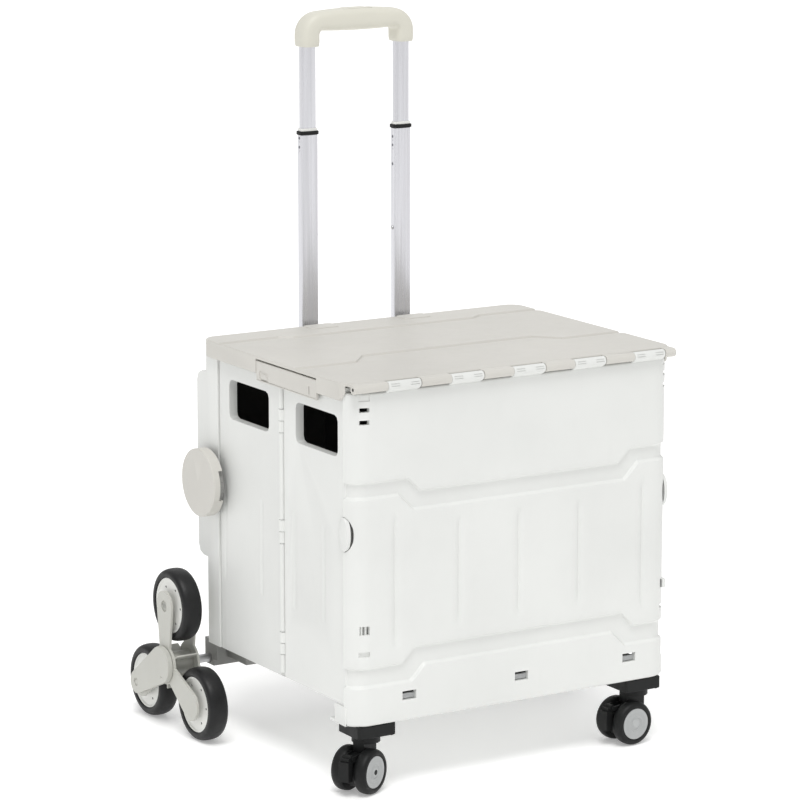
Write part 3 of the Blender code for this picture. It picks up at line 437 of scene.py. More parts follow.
def front_shell():
    straight = SHELL_HALF - CORNER
    start = math.asin((CORNER - SEAM) / CORNER)
    arc = [(math.acos((x - straight) / CORNER) - start) / (HALF_PI - start) for x in (*CORNER_SLOT_X[-1], *CORNER_SLOT_X[1])]
    arc = filled_in([0.0, 1.0, *arc], 0.07)
    flat = [-straight, straight]
    for centre, _, _ in GROOVES:
        flat += list(centre + GROOVE_HALF * np.linspace(-1, 1, 13))
    for centre in SLOT_X:
        flat += [centre + s * (SLOT_HALF + extra) for s in (-1, 1) for extra in (0.0, 0.0018)]
    flat = filled_in(flat, 0.0022)
    side = np.concatenate([-np.ones(len(arc)), np.zeros(len(flat) - 2), np.ones(len(arc))])
    along = np.concatenate([arc, flat[1:-1], arc[::-1]])

    def place(inset, z):
        """World points of the shell's skin at an inset, both as grids of rows by columns."""
        radius = CORNER - inset
        first = np.arcsin((CORNER - SEAM) / radius)
        angle = first + along * (HALF_PI - first)
        x = np.where(side == 0, along, side * (straight + radius * np.cos(angle)))
        y = np.where(side == 0, inset, CORNER - radius * np.sin(angle))
        return np.stack([x, FACE + y, z], axis=-1)

    x0 = place(np.zeros(len(side)), np.zeros(len(side)))[:, 0]
    ones = np.ones_like(x0)
    out = ease((np.abs(x0) - 0.158) / 0.024)
    across = x0 - PANEL_MIDDLE
    edges = {"a": stepped(across, 0.1363, 0.1197, 0.1234), "b": stepped(across, 0.1563, 0.1400, 0.1352),
             "c": stepped(across, 0.3097, 0.3278, 0.1376), "d": stepped(across, 0.3292, 0.3443, 0.1300)}
    rows, ramp = [], GUTTER_RAMP

    def run(target, steps):
        begin = rows[-1]
        for k in range(1, steps + 1):
            rows.append(begin + (target - begin) * k / steps)

    for k in range(6):
        rows.append(ones * (SHELL_LOW + SHELL_RIM * (1 - math.cos(HALF_PI * k / 5))))
    run(ones * SLOT_Z[0], 6)
    run(ones * SLOT_Z[1], 3)
    run(edges["a"] - ramp, 3)
    run(edges["a"] + ramp, 8)
    run(edges["b"] - ramp, 2)
    run(edges["b"] + ramp, 8)
    step = 0.0003
    for low, high in (SHALLOW_SLOT, CORNER_SLOTS[2]):
        for z, spare in ((low - step, 0.020), (low, 0.021), (high, 0.028), (high + step, 0.029)):
            spare += 0.016 if low > 0.17 else 0.0
            run(z * out + (edges["b"] + ramp + spare * 0.4) * (1 - out), 1)
    run(edges["c"] - ramp, 26)
    run(edges["c"] + ramp, 8)
    run(edges["d"] - ramp, 2)
    run(edges["d"] + ramp, 8)
    run(ones * CORNER_SLOTS[0][0], 12)
    for z in (CORNER_SLOTS[0][1], *CORNER_SLOTS[1], 0.4340, 0.4343):
        run(ones * z, 1)
    run(ones * (SHELL_HIGH - SHELL_RIM), 2)
    for k in range(1, 6):
        rows.append(ones * (SHELL_HIGH - SHELL_RIM + SHELL_RIM * math.sin(HALF_PI * k / 5)))
    z = np.array(rows)
    x = np.broadcast_to(x0, z.shape)

    def rises(edge):
        return ease((z - edges[edge] + ramp) / (2 * ramp))
    inset = GUTTER_DEPTH * (rises("a") * (1 - rises("b")) + rises("c") * (1 - rises("d")))
    for centre, low, high in GROOVES:
        dip = np.clip(1 - np.abs(x - centre) / GROOVE_HALF, 0.0, 1.0) ** 2
        inset = inset + GROOVE_DEPTH * dip * ease((z - low) / 0.012) * ease((high - z) / 0.012)
    in_corner = np.zeros(x.shape, bool)
    for sign, (outer_x, inner_x) in CORNER_SLOT_X.items():
        in_corner |= (sign * x <= outer_x + 1e-5) & (sign * x >= inner_x - 1e-5)
    low, high = SHALLOW_SLOT
    inset = inset + 0.0022 * (in_corner & (z > low - 1e-5) & (z < high + 1e-5))
    inset = inset + 0.0008 * (in_corner & (z > 0.43415))
    for end, sign in ((SHELL_LOW, 1), (SHELL_HIGH, -1)):
        into = np.clip((SHELL_RIM - sign * (z - end)) / SHELL_RIM, 0.0, 1.0)
        inset = inset + SHELL_RIM * (1 - np.sqrt(1 - into ** 2))

    deep = inset + WALL
    deep[:6] = WALL + inset[6]
    deep[-6:] = WALL + inset[-7]
    near_slot = np.zeros_like(z)
    for centre in SLOT_X:
        near_slot = np.maximum(near_slot, (np.abs(x - centre) < SLOT_HALF + 0.0015)
                               & (z > SLOT_Z[0] - 0.001) & (z < SLOT_Z[1] + 0.001))
    deep = deep + 0.0030 * near_slot + 0.0020 * in_corner * ((z > 0.40) | ((z > 0.15) & (z < 0.19)))

    signed_x = (x0[:-1] + x0[1:]) / 2
    middle_z = (z[:-1, :-1] + z[1:, 1:]) / 2
    holes = np.zeros(middle_z.shape, bool)
    for centre in SLOT_X:
        holes |= (np.abs(signed_x - centre) < SLOT_HALF) & (middle_z > SLOT_Z[0]) & (middle_z < SLOT_Z[1])
    for low, high in CORNER_SLOTS:
        for sign, (outer_x, inner_x) in CORNER_SLOT_X.items():
            across = sign * signed_x
            holes |= (across > inner_x) & (across < outer_x) & (middle_z > low) & (middle_z < high)
    shell = walled_grid("front_shell_moulding", place(inset, z), place(deep, z), holes)
    carve(shell, [rod_object(f"oval_notch_{name}", "X", (sign * 0.2086, 0.0165, oval_height(name)), 0.0106, 0.0170, 64,
                             (1.0, 1.0, 1.85)) for sign, name in SIDES])
    shell.data.shade_smooth()
    shell.data.set_sharp_from_angle(angle=math.radians(38))

    extras = []
    for sign, name in SIDES:
        toe = block_object(f"toe_{name}", (sign * 0.2050, 0.0130, SHELL_LOW), (sign * 0.2085, 0.0360, 0.0975), 0.0010)
        shelf = block_object(f"shelf_{name}", (sign * 0.1500, 0.0130, SHELL_LOW + 1e-4), (sign * 0.2083, 0.0465, 0.0796),
                             0.0010)
        outer_x, inner_x = CORNER_SLOT_X[sign]
        fins = [box_object(f"fin_{name}_{k}", ((sign * (a - 0.0011), 0.0030 + back, 0.1782),
                                               (sign * (a + 0.0011), 0.0125, 0.1880)))
                for k, (a, back) in enumerate(((inner_x + 0.0035, 0.0), (outer_x - 0.0035, 0.0012)))]
        backing = box_object(f"slot_backing_{name}", ((sign * 0.1890, 0.0125, 0.1765), (sign * 0.2030, 0.0140, 0.1895)))
        bearing = rod_object(f"floor_bearing_{name}", "X", (sign * 0.1882, 0.0150, 0.0905), 0.0055, 0.0038)
        for part in (toe, shelf, bearing):
            soften(part, 0.0004)
        extras += [toe, shelf, backing, bearing, *fins]
        for k, (low, high) in enumerate(UPPER_HALVES):
            ear = rod_object(f"ear_{name}_{k}", "Z", (sign * 0.1955, 0.0205, (low + high) / 2), 0.0040, high - low, 28)
            web = box_object(f"web_{name}_{k}", ((sign * 0.1952, 0.0060, low), (sign * 0.1915, 0.0205, high)))
            carve(ear, joins=[web])
            extras.append(soften(ear, 0.0003))
    joined(shell, *extras)
    return dress(shell, "front", "white_plastic", ("front_shell",))


HINGE_ZONES = ((0.1251, 0.1501), (0.2512, 0.2773), (0.3757, 0.4014))
LOWER_HALVES = [(low, (low + high) / 2 - 0.0003) for low, high in HINGE_ZONES]
UPPER_HALVES = [((low + high) / 2 + 0.0003, high) for low, high in HINGE_ZONES]


def hinge_clips():
    """White barrels on the shell's top edge: a smooth middle, and two slits through each end third."""
    back, height = LID_AXIS
    radius, slit, steps = 0.0050, 0.0010, 60
    for number, (low, high) in enumerate(CLIPS):
        stations = [0.0, 0.0004, 0.0012, 0.0030, 0.0030, 0.0135, 0.0135, 0.0205]
        reach = [(0.75, 0), (0.93, 0), (1.0, 0), (1.0, 0), (1.0, 1), (1.0, 1), (1.0, 0), (1.0, 0)]
        length = high - low
        line = [(s, r, g) for s, (r, g) in zip(stations, reach)]
        line += [(length - s, r, g) for s, r, g in line[-2::-1]]
        profile = [(radius * r, s) for s, r, g in line]
        grooved = [g for _, _, g in line]
        profile = [(0.0019, 0.0), *profile, (0.0019, length)]
        grooved = [0, *grooved, 0]

        def slits(i, k, r, offset):
            """Slits at two lines on the barrel's front, below and above its middle."""
            degrees = (360.0 * k / steps) % 360
            in_slit = any(abs(degrees - line_at) < 4.0 for line_at in (148.0, 180.0))
            return (r - slit if grooved[i] and in_slit else r), offset
        clip = turned_object(f"hinge_clip_{number}", profile, at(low, back, height), "X", 1, steps, slits)
        skirt = plate_object("clip_skirt", ((-0.0066, 0.4458), (-0.0048, 0.4436), (-0.0008, 0.4418), (0.0012, 0.4405),
                                            (0.0020, 0.4480), (-0.0010, 0.4500)), "X", low + 0.0006, high - 0.0006)
        soften(skirt, 0.0005)
        joined(clip, skirt)
        dress(clip, "front", "white_plastic")


# ---------------------------------------------------------------- lid
LID_HALF, LID_FRONT, LID_BACK, LID_TOP, LID_UNDER = 0.2125, 0.0035, 0.325, 0.4541, 0.4506
LATCH = (0.066, 0.197)
LID_GROOVES = ((0.1120, 0.1390, 0.1110, 0.1350), (0.2840, 0.2745, 0.1200, 0.1350))


def groove_cutter(name, side_back, middle_back, inner_x, outer_x):
    """Shallow V across the lid: a long slope down to a steep rear wall, offset between two slanting jogs."""
    slope, steep, deep = 0.0160, 0.0014, 0.0019
    bm = bmesh.new()
    sections = []
    for x, back in ((-0.23, side_back), (-outer_x, side_back), (-inner_x, middle_back), (inner_x, middle_back),
                    (outer_x, side_back), (0.23, side_back)):
        corners = ((back, LID_TOP + 0.0010), (back, LID_TOP), (back - steep, LID_TOP - deep),
                   (back - slope, LID_TOP), (back - slope, LID_TOP + 0.0010))
        sections.append([bm.verts.new(at(x, b, z)) for b, z in corners])
    for one, other in zip(sections, sections[1:]):
        for i in range(5):
            bm.faces.new((one[i], one[(i + 1) % 5], other[(i + 1) % 5], other[i]))
    bm.faces.new(sections[0])
    bm.faces.new(sections[-1][::-1])
    return new_object(name, bm, flat=True)


def lid():
    back, height = LID_AXIS
    skirt = 0.004
    base = block_object("lid_moulding", (-LID_HALF, LID_FRONT, 0.4340), (LID_HALF, LID_BACK, LID_TOP), 0.018, rim=0.0015,
                        steps=12)
    cutters = [
        box_object("lid_inside", ((-LID_HALF + skirt, -0.01, 0.42), (LID_HALF - skirt, LID_BACK - WALL, LID_UNDER))),
        box_object("lid_trim", ((-0.3, -0.01, 0.42), (0.3, 0.0110, LID_UNDER - 0.0002)),
                   ((-0.3, 0.3125, 0.42), (0.3, 0.35, 0.4482))),
        plate_object("skirt_chamfer", ((0.0100, 0.4300), (0.0215, 0.4300), (0.0100, 0.4440)), "X", -0.3, 0.3)]
    cutters += [groove_cutter(f"lid_groove_{k}", *spec) for k, spec in enumerate(LID_GROOVES)]
    for sign, name in SIDES:
        cutters.append(box_object(f"latch_gap_{name}", ((sign * 0.2080, LATCH[0] - 0.0006, 0.42),
                                                        (sign * 0.22, LATCH[1] + 0.0006, LID_UNDER - 0.0002))))
    edges = [-0.2080] + [value for pair in CLIPS for value in pair] + [0.2080]
    tabs = list(zip(edges[::2], edges[1::2]))
    bm = bmesh.new()
    for low, high in tabs:
        add_rod(bm, "X", at((low + high) / 2, back, height), 0.0050, high - low - 0.0010, 40)
    barrels = new_object("lid_tabs", bm, flat=True)
    webs = box_object("lid_tab_webs", *(((low + 0.0005, back, LID_UNDER + 1e-4), (high - 0.0005, 0.0080, 0.4536))
                                        for low, high in tabs))
    carve(base, cutters)
    carve(base, joins=(barrels, webs))
    soften(base, 0.0005, 2, 20.0)
    pads = []
    for sign, name in SIDES:
        pad = block_object(f"pad_{name}", (sign * 0.0622 - 0.0185, 0.3010, 0.4530), (sign * 0.0622 + 0.0185, 0.3235, 0.4553),
                           0.0050, rim=0.0011)
        pads.append(pad)
    joined(base, *pads)
    base.data.shade_smooth()
    base.data.set_sharp_from_angle(angle=math.radians(42))
    dress(base, "lid", "beige_plastic", ("lid",))


def latches():
    for sign, name in SIDES:
        flap = block_object(f"latch_flap_{name}", (sign * 0.2088, LATCH[0], 0.4260), (sign * 0.2122, LATCH[1], 0.4484),
                            0.0012, along="Y", rim=0.0006, steps=4)
        slot = box_object("latch_slot", ((sign * 0.20, 0.0805, 0.4300), (sign * 0.22, 0.0822, 0.4390)))
        finger = block_object("latch_finger", (sign * 0.2114, 0.1690, 0.4282), (sign * 0.2160, 0.1900, 0.4385), 0.004,
                              along="X")
        lip = box_object("latch_lip", ((sign * 0.2117, LATCH[0] - 0.001, 0.4275),
                                      (sign * 0.2130, LATCH[1] + 0.001, 0.4281)))
        carve(flap, (slot, finger, lip))
        soften(flap, 0.0003)
        boss = block_object("latch_boss", (sign * 0.2084, 0.1735, 0.4295), (sign * 0.2121, 0.1855, 0.4355), 0.0022, along="X",
                            rim=0.0005)
        hook = block_object("latch_hook", (sign * 0.2075, 0.1700, 0.4275), (sign * 0.2092, 0.1850, 0.4330), 0.001,
                            along="X")
        joined(flap, boss, hook)
        dress(flap, f"latch_{name}", "beige_plastic", (f"lid_latch_{name}",))


# ---------------------------------------------------------------- handle
def tube_outline(half_x, half_y, radius, crown, steps=6):
    """Rounded rectangle whose front and back faces are slightly crowned, as (x, y) offsets."""
    points = []
    for quarter in range(4):
        cx = (half_x - radius) * (1 if quarter in (0, 3) else -1)
        cy = (half_y - crown - radius) * (1 if quarter in (0, 1) else -1)
        for k in range(steps + 1):
            angle = HALF_PI * (quarter + k / steps)
            points.append((cx + radius * math.cos(angle), cy + radius * math.sin(angle)))
        if quarter in (0, 2):
            start, end = points[-1][0], -points[-1][0]
            for k in range(1, 8):
                x = start + (end - start) * k / 8
                points.append((x, points[(quarter // 2) * (2 * (steps + 1) + 7) + steps][1]))
    span = half_x - radius
    return [(x, y + math.copysign(crown * max(0.0, 1 - (x / span) ** 2), y) if abs(x) < span else y) for x, y in points]


def tube_object(name, centre, size, low, high, wall, radius, crown):
    """Open tube between two heights with the crowned outline."""
    rings = []
    bm = bmesh.new()
    outer = tube_outline(size[0] / 2, size[1] / 2, radius, crown)
    inner = tube_outline(size[0] / 2 - wall, size[1] / 2 - wall, max(radius - wall, 0.0006), crown)
    ease_in = 0.0003
    levels = ((outer, low, ease_in), (outer, low + ease_in, 0.0), (outer, high - ease_in, 0.0), (outer, high, ease_in),
              (inner, high, 0.0), (inner, low, 0.0))
    for outline, z, shrink in levels:
        rings.append([bm.verts.new((centre[0] + x * (1 - shrink / 0.01), centre[1] + y * (1 - shrink / 0.006), z))
                      for x, y in outline])
    for one, other in zip(rings, rings[1:] + rings[:1]):
        for i in range(len(one)):
            j = (i + 1) % len(one)
            bm.faces.new((one[i], one[j], other[j], other[i]))
    return new_object(name, bm, angle=30.0)


def handle():
    detents = {"left": (0.6686, 0.6583), "right": (0.6624, 0.6525, 0.6305)}
    for sign, name in SIDES:
        low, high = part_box(f"mid_tube_{name}")
        centre = (low + high) / 2
        tube = tube_object(f"mid_tube_drawn_{name}", centre, (0.022, 0.012), low.z, high.z, 0.0012, 0.0024, 0.0006)
        holes = [rod_object(f"detent_{k}", "X", (centre.x - 0.011, centre.y - FACE, z), 0.0017, 0.006, 24)
                 for k, z in enumerate(detents[name])]
        pilots = [rod_object(f"pilot_{k}", "X", (centre.x - 0.011, centre.y - FACE - 0.0008, z - 0.0042), 0.0006, 0.006, 12)
                  for k, z in enumerate(detents[name][:2])]
        carve(tube, holes + pilots)
        tube.data.set_sharp_from_angle(angle=math.radians(30))
        dress(tube, "mid_stage", "aluminium", (f"mid_tube_{name}",))
        pin = turned_object(f"spring_pin_{name}", ((0.00001, 0.0022), (0.0010, 0.0021), (0.0018, 0.0015), (0.0022, 0.0006),
                                                   (0.0022, -0.0030), (0.00001, -0.0030)),
                            (centre.x - sign * 0.0108, centre.y, 0.5560), "X", -sign, 32)
        dress(pin, "mid_stage", "steel")

        low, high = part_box(f"inner_tube_{name}")
        tube = tube_object(f"inner_tube_drawn_{name}", (low + high) / 2, (0.019, 0.009), low.z, high.z, 0.0012, 0.0022, 0.0005)
        dress(tube, "top_stage", "aluminium", (f"inner_tube_{name}",))
        low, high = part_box(f"tube_collar_{name}")
        middle = (low + high) / 2
        collar = tube_object(f"collar_ring_{name}", middle, (0.0245, 0.0145), low.z, high.z, 0.0024, 0.0036, 0.0004)
        dress(collar, "mid_stage", "black_plastic", (f"tube_collar_{name}",))
        bush = tube_object(f"collar_bush_{name}", middle, (0.0212, 0.0112), high.z, high.z + 0.0032, 0.0008, 0.0024, 0.0004)
        dress(bush, "mid_stage", "hub_plastic")


def grip():
    """Handle grip: an arched bar whose rounded section turns down into two legs."""
    low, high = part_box("handle_grip")
    mid_y = (low.y + high.y) / 2
    leg_x, leg_half, bar_half, deep = 0.0623, 0.0116, 0.0110, high.y - mid_y
    bend, belly, rise = 0.0155, 0.0018, 0.0004
    bar_z = high.z - bar_half
    stations = []
    for k in range(6):
        stations.append((-leg_x, low.z + (bar_z - bend - low.z) * k / 5, 0.0, leg_half))
    for k in range(1, 15):
        a = HALF_PI * k / 14
        stations.append((-leg_x + bend - bend * math.cos(a), bar_z - bend + bend * math.sin(a), a,
                         leg_half + (bar_half - leg_half) * ease(k / 14)))
    for k in range(1, 17):
        x = (-leg_x + bend) * (1 - k / 16)
        swell = 1 - (x / (leg_x - bend)) ** 2
        stations.append((x, bar_z + rise * swell, HALF_PI, bar_half + belly * swell))
    stations += [(-x, z, math.pi - a, h) for x, z, a, h in stations[-2::-1]]
    bm = bmesh.new()
    rings, sides = [], 40
    for number, (x, z, a, half) in enumerate(stations):
        normal = Vector((-math.cos(a), 0.0, math.sin(a)))
        tuck = 1.0 - 0.06 * max(0.0, 1 - min(number, len(stations) - 1 - number) / 1.5)
        ring = []
        for k in range(sides):
            t = 2 * math.pi * k / sides
            c, s = math.cos(t), math.sin(t)
            u = math.copysign(abs(c) ** 0.62, c) * half * tuck
            v = math.copysign(abs(s) ** 0.62, s) * deep * tuck
            point = Vector((x, mid_y, z)) + normal * u + Vector((0, v, 0))
            ring.append(bm.verts.new(point))
        rings.append(ring)
    for one, other in zip(rings, rings[1:]):
        for i in range(sides):
            j = (i + 1) % sides
            bm.faces.new((one[i], one[j], other[j], other[i]))
    bm.faces.new(rings[0])
    bm.faces.new(rings[-1])
    bar = new_object("grip_moulding", bm)
    well = plate_object("button_well", ((-0.0190, 0.8180), (-0.0190, 0.8010), (0.0190, 0.8010), (0.0190, 0.8180)), "Y",
                        mid_y - FACE - 0.0086, mid_y - FACE + 0.0086)
    carve(bar, (well,))
    bar.data.shade_smooth()
    bar.data.set_sharp_from_angle(angle=math.radians(42))
    dress(bar, "top_stage", "cream_plastic", ("handle_grip",))

    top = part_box("release_button")[1].z
    button = plate_object("button_cap", ((-0.0186, top - 0.0008), (-0.0166, top - 0.0098), (0.0166, top - 0.0098),
                                         (0.0186, top - 0.0008), (0.0120, top), (-0.0120, top)), "Y",
                          mid_y - FACE - 0.0081, mid_y - FACE + 0.0081)
    soften(button, 0.0010, 3)
    dress(button, "button", "cream_plastic", ("release_button",))


# ---------------------------------------------------------------- stair-climbing wheels
def stair_wheels(sign, name):
    half, outer, bed = 0.012, 0.042, 0.0323
    tread = []
    for k in range(25):
        t = math.pi * (k / 24 - 0.5)
        tread.append((bed + 0.0012 + (outer - bed - 0.0012) * abs(math.cos(t)) ** 0.55,
                      half * math.copysign(abs(math.sin(t)) ** 0.85, math.sin(t))))
    tyre = [(bed, -half + 0.0006), *tread, (bed, half - 0.0006)]
    hub = [(0.0043, 0.0084), (0.0150, 0.0084), (0.0280, 0.0084),
           (0.0292, 0.0088), (0.0300, 0.0099), (0.0306, 0.0104), (0.0316, 0.0104), (0.0320, 0.0099),
           (0.0320, -0.0099), (0.0316, -0.0104), (0.0306, -0.0104), (0.0300, -0.0099), (0.0292, -0.0088), (0.0280, -0.0084),
           (0.0135, -0.0084), (0.0115, -0.0105), (0.0043, -0.0105)]
    for label in ("top", "front", "rear"):
        node = f"stair_tyre_{label}_{name}"
        low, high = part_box(node)
        centre = (low + high) / 2
        body = f"climber_wheel_{label}_{name}"
        dress(turned_object(f"tyre_{label}_{name}", tyre, centre, "X", sign), body, "black_rubber", (node,))
        disc = turned_object(f"wheel_disc_{label}_{name}", hub, centre, "X", sign)
        face = centre.x + sign * 0.0084
        holes = []
        for k in range(HUB_HOLES):
            angle = math.tau * k / HUB_HOLES
            spot = (face, centre.y - FACE + HUB_HOLE_RING * math.cos(angle), centre.z + HUB_HOLE_RING * math.sin(angle))
            holes.append(rod_object("hub_hole", "X", spot, HUB_HOLE_RADIUS, 0.0060, 24))
        carve(disc, holes)
        disc.data.shade_smooth()
        disc.data.set_sharp_from_angle(angle=math.radians(35))
        dress(disc, body, "hub_plastic", (f"stair_hub_{label}_{name}",))
        # Black disc buried just under the hub's face, seen only through the hub holes and the axle bore: painted shade
        # in them.
        hole_shade_disc = rod_object(f"hub_hole_shade_{label}_{name}", "X", (centre.x + sign * 0.0076, centre.y - FACE, centre.z), 0.0275,
                           0.0008, 48)
        dress(soften(hole_shade_disc, 0.0001, 1), body, "black_plastic")


def spider(sign, name):
    node = f"stair_spider_{name}"
    cap_low, cap_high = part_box(f"hub_cap_{name}")
    axle_low, axle_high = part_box("axle")
    axle_y, axle_z = (axle_low.y + axle_high.y) / 2 - FACE, (axle_low.z + axle_high.z) / 2
    arm, tip, hub = 0.0685, 0.0178, 0.0233
    outer, inner = (0.2545, 0.2575), (0.2235, 0.2265)

    def outline(grow):
        points = []
        for k in range(3):
            along = math.radians(90 + 120 * k)
            cx, cz = arm * math.cos(along), arm * math.sin(along)
            for step in range(-9, 10):
                angle = along + math.radians(10 * step)
                points.append((axle_y + cx + (tip + grow) * math.cos(angle), axle_z + cz + (tip + grow) * math.sin(angle)))
            for offset in (30, 42, 54, 66, 78, 90):
                angle = along + math.radians(offset)
                points.append((axle_y + (hub + grow) * math.cos(angle), axle_z + (hub + grow) * math.sin(angle)))
        return points

    plate = plate_object(f"spider_frame_{name}", outline(0.0), "X", *sorted(sign * v for v in outer))
    centres = [(axle_y + arm * math.cos(math.radians(90 + 120 * k)), axle_z + arm * math.sin(math.radians(90 + 120 * k)))
               for k in range(3)]
    face = sign * outer[1]
    recess = rod_object("bolt_recess", "X", (face, *centres[0]), 0.0066, 0.0038)
    ring = turned_object("bolt_ring", ((0.0052, 0.0), (0.0066, 0.0), (0.0066, -0.0006), (0.0052, -0.0006)),
                         at(face + sign * 0.0001, *centres[2]), "X", sign, 48)
    carve(plate, (recess, ring))
    soften(plate, 0.0007, 3)
    parts = [plate]
    back = plate_object("inner_frame", outline(0.0), "X", *sorted(sign * v for v in inner))
    parts.append(soften(back, 0.0007, 3))
    middle = sign * (outer[1] + inner[0]) / 2
    span = outer[1] - inner[0] - 0.0012
    parts.append(rod_object("spider_hub", "X", (middle, axle_y, axle_z), 0.0135, span, 48))
    for k, centre in enumerate(centres):
        parts.append(rod_object(f"wheel_pin_{k}", "X", (middle, *centre), 0.0040, span, 32))
        bolt = turned_object(f"bolt_{k}", ((0.00001, 0.0012), (0.0042, 0.0012), (0.0048, 0.0008), (0.0048, -0.0010),
                                           (0.00001, -0.0010)), at(face - sign * 0.0018, *centre), "X", sign, 32)
        parts.append(bolt)
    for turn, low_r, high_r in ((30, 0.012, 0.0290), (150, 0.012, 0.0290), (270, 0.012, 0.0290)):
        web = box_object(f"cross_web_{turn}", ((sign * inner[1], low_r, -0.0009), (sign * outer[0], high_r, 0.0009)))
        turn_matrix = Matrix.Translation(at(0, axle_y, axle_z)) @ Matrix.Rotation(math.radians(turn), 4, "X")
        web.data.transform(turn_matrix @ Matrix.Translation(-at(0, 0, 0)))
        parts.append(soften(web, 0.0003))
    frame_piece = joined(*parts)
    dress(frame_piece, f"climber_{name}", "warm_grey_plastic", (node,))
    return axle_y, axle_z


def hub_cap(sign, name, axle_y, axle_z):
    """Tear-drop cap: wide over the hub, narrowing to the rear wheel's pin, with a raised boss."""
    big, small, reach = 0.0213, 0.0133, 0.0685
    lean = math.asin((big - small) / reach)
    along = math.radians(-30)

    def outline(grow):
        points = []
        for centre, radius, start, end, count in ((0.0, big, HALF_PI - lean, 1.5 * math.pi + lean, 40),
                                                  (reach, small, lean - HALF_PI, HALF_PI - lean, 18)):
            for k in range(count + 1):
                angle = start + (end - start) * k / count
                a, b = centre + (radius + grow) * math.cos(angle), (radius + grow) * math.sin(angle)
                points.append((axle_y + a * math.cos(along) - b * math.sin(along),
                               axle_z + a * math.sin(along) + b * math.cos(along)))
        return points
    low, high = 0.2578, 0.2645
    cap = plate_object(f"hub_cap_shell_{name}", outline(0.0), "X", *sorted((sign * low, sign * high)))
    end_y, end_z = axle_y + reach * math.cos(along), axle_z + reach * math.sin(along)
    recess = rod_object("cap_recess", "X", (sign * high, end_y, end_z), 0.0048, 0.0036)
    dot = rod_object("cap_dot", "X", (sign * high, axle_y - 0.004, axle_z - 0.0135), 0.0010, 0.003, 16)
    carve(cap, (recess, dot))
    soften(cap, 0.0012, 3)
    bolt = turned_object("cap_bolt", ((0.00001, 0.0008), (0.0028, 0.0008), (0.0034, 0.0003), (0.0034, -0.0010),
                                      (0.00001, -0.0010)), at(sign * (high - 0.0016), end_y, end_z), "X", sign, 32)
    joined(cap, bolt)
    dress(cap, f"climber_{name}", "warm_grey_plastic", (f"hub_cap_{name}",))


# ---------------------------------------------------------------- casters
def caster_wheels(name):
    for label in ("near", "far"):
        node = f"caster_wheel_{label}_{name}"
        joint = next(j for j in frame["joints"] if j["name"] == f"caster_roll_{label}_{name}")
        axis = Vector(joint["axis"]).normalized()
        low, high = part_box(node)
        centre = (low + high) / 2
        yoke_low, yoke_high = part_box(f"caster_yoke_{name}")
        hub_centre = (yoke_low + yoke_high) / 2
        outward = 1 if (centre - hub_centre).dot(axis) > 0 else -1
        aim = (axis * outward).to_track_quat("Z", "Y").to_matrix().to_4x4()
        half = 0.0070
        tyre = [(0.0033, half - 0.0016), (0.0176, half - 0.0016), (0.0182, half - 0.0010), (0.0190, half - 0.0001),
                (0.0205, half), (0.0222, half - 0.0006), (0.0238, half - 0.0022), (0.0247, half - 0.0042),
                (0.0250, half - 0.0062), (0.0250, -half + 0.0040), (0.0246, -half + 0.0016), (0.0236, -half + 0.0002),
                (0.0225, -half), (0.0033, -half)]
        wheel = turned_object(f"twin_tyre_{label}_{name}", tyre, (0, 0, 0), "Z", 1)
        wheel.data.transform(Matrix.Translation(centre) @ aim)
        dress(wheel, f"caster_wheel_{label}_{name}", "black_plastic", (node,))

        steps = 144
        radii = np.array([0.0001, 0.0040, 0.0046, 0.0052, 0.0058, 0.0066, 0.0070, 0.0082, 0.0086, 0.0090, 0.0104, 0.0108,
                          0.0112, 0.0128, 0.0132, 0.0136, 0.0150, 0.0158, 0.0164, 0.0172, 0.0176])
        ridged = (7, 8, 11, 12, 14, 15)
        face = half - 0.0010
        profile = [(r, face + (0.0006 if r < 0.0045 else 0.0) - (0.0005 if 0.0055 < r < 0.0068 else 0.0)) for r in radii]
        profile += [(0.0176, face - 0.0012), (0.0001, face - 0.0012)]

        def knurl(i, k, r, offset):
            return r, offset + (0.00045 if i in ridged and k % 3 == 0 else 0.0)
        disc = turned_object(f"twin_cap_{label}_{name}", profile, (0, 0, 0), "Z", 1, steps, knurl)
        disc.data.transform(Matrix.Translation(centre) @ aim)
        dress(disc, f"caster_wheel_{label}_{name}", "grey_plastic", look=CAP_GREY)


def caster_mounts(sign, name):
    block = from_node(f"caster_block_{name}", f"caster_plate_{name}")
    low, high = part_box(f"caster_block_{name}")
    soften(block, 0.0008, 3)
    lugs = []
    for x in (low.x + 0.004, high.x - 0.004):
        for y in (low.y + 0.004, high.y - 0.004):
            bm = bmesh.new()
            add_rod(bm, "Z", Vector((x, y, low.z + 0.0004)), 0.0018, 0.0030, 20)
            lugs.append(soften(new_object("lug", bm, flat=True), 0.0003))
    joined(block, *lugs)
    dress(block, "front", "black_plastic", (f"caster_block_{name}",))
    softened_node(f"caster_yoke_{name}", "black_plastic", 0.0009, 3)
    softened_node(f"caster_brake_{name}", "black_plastic", 0.0007, 3)


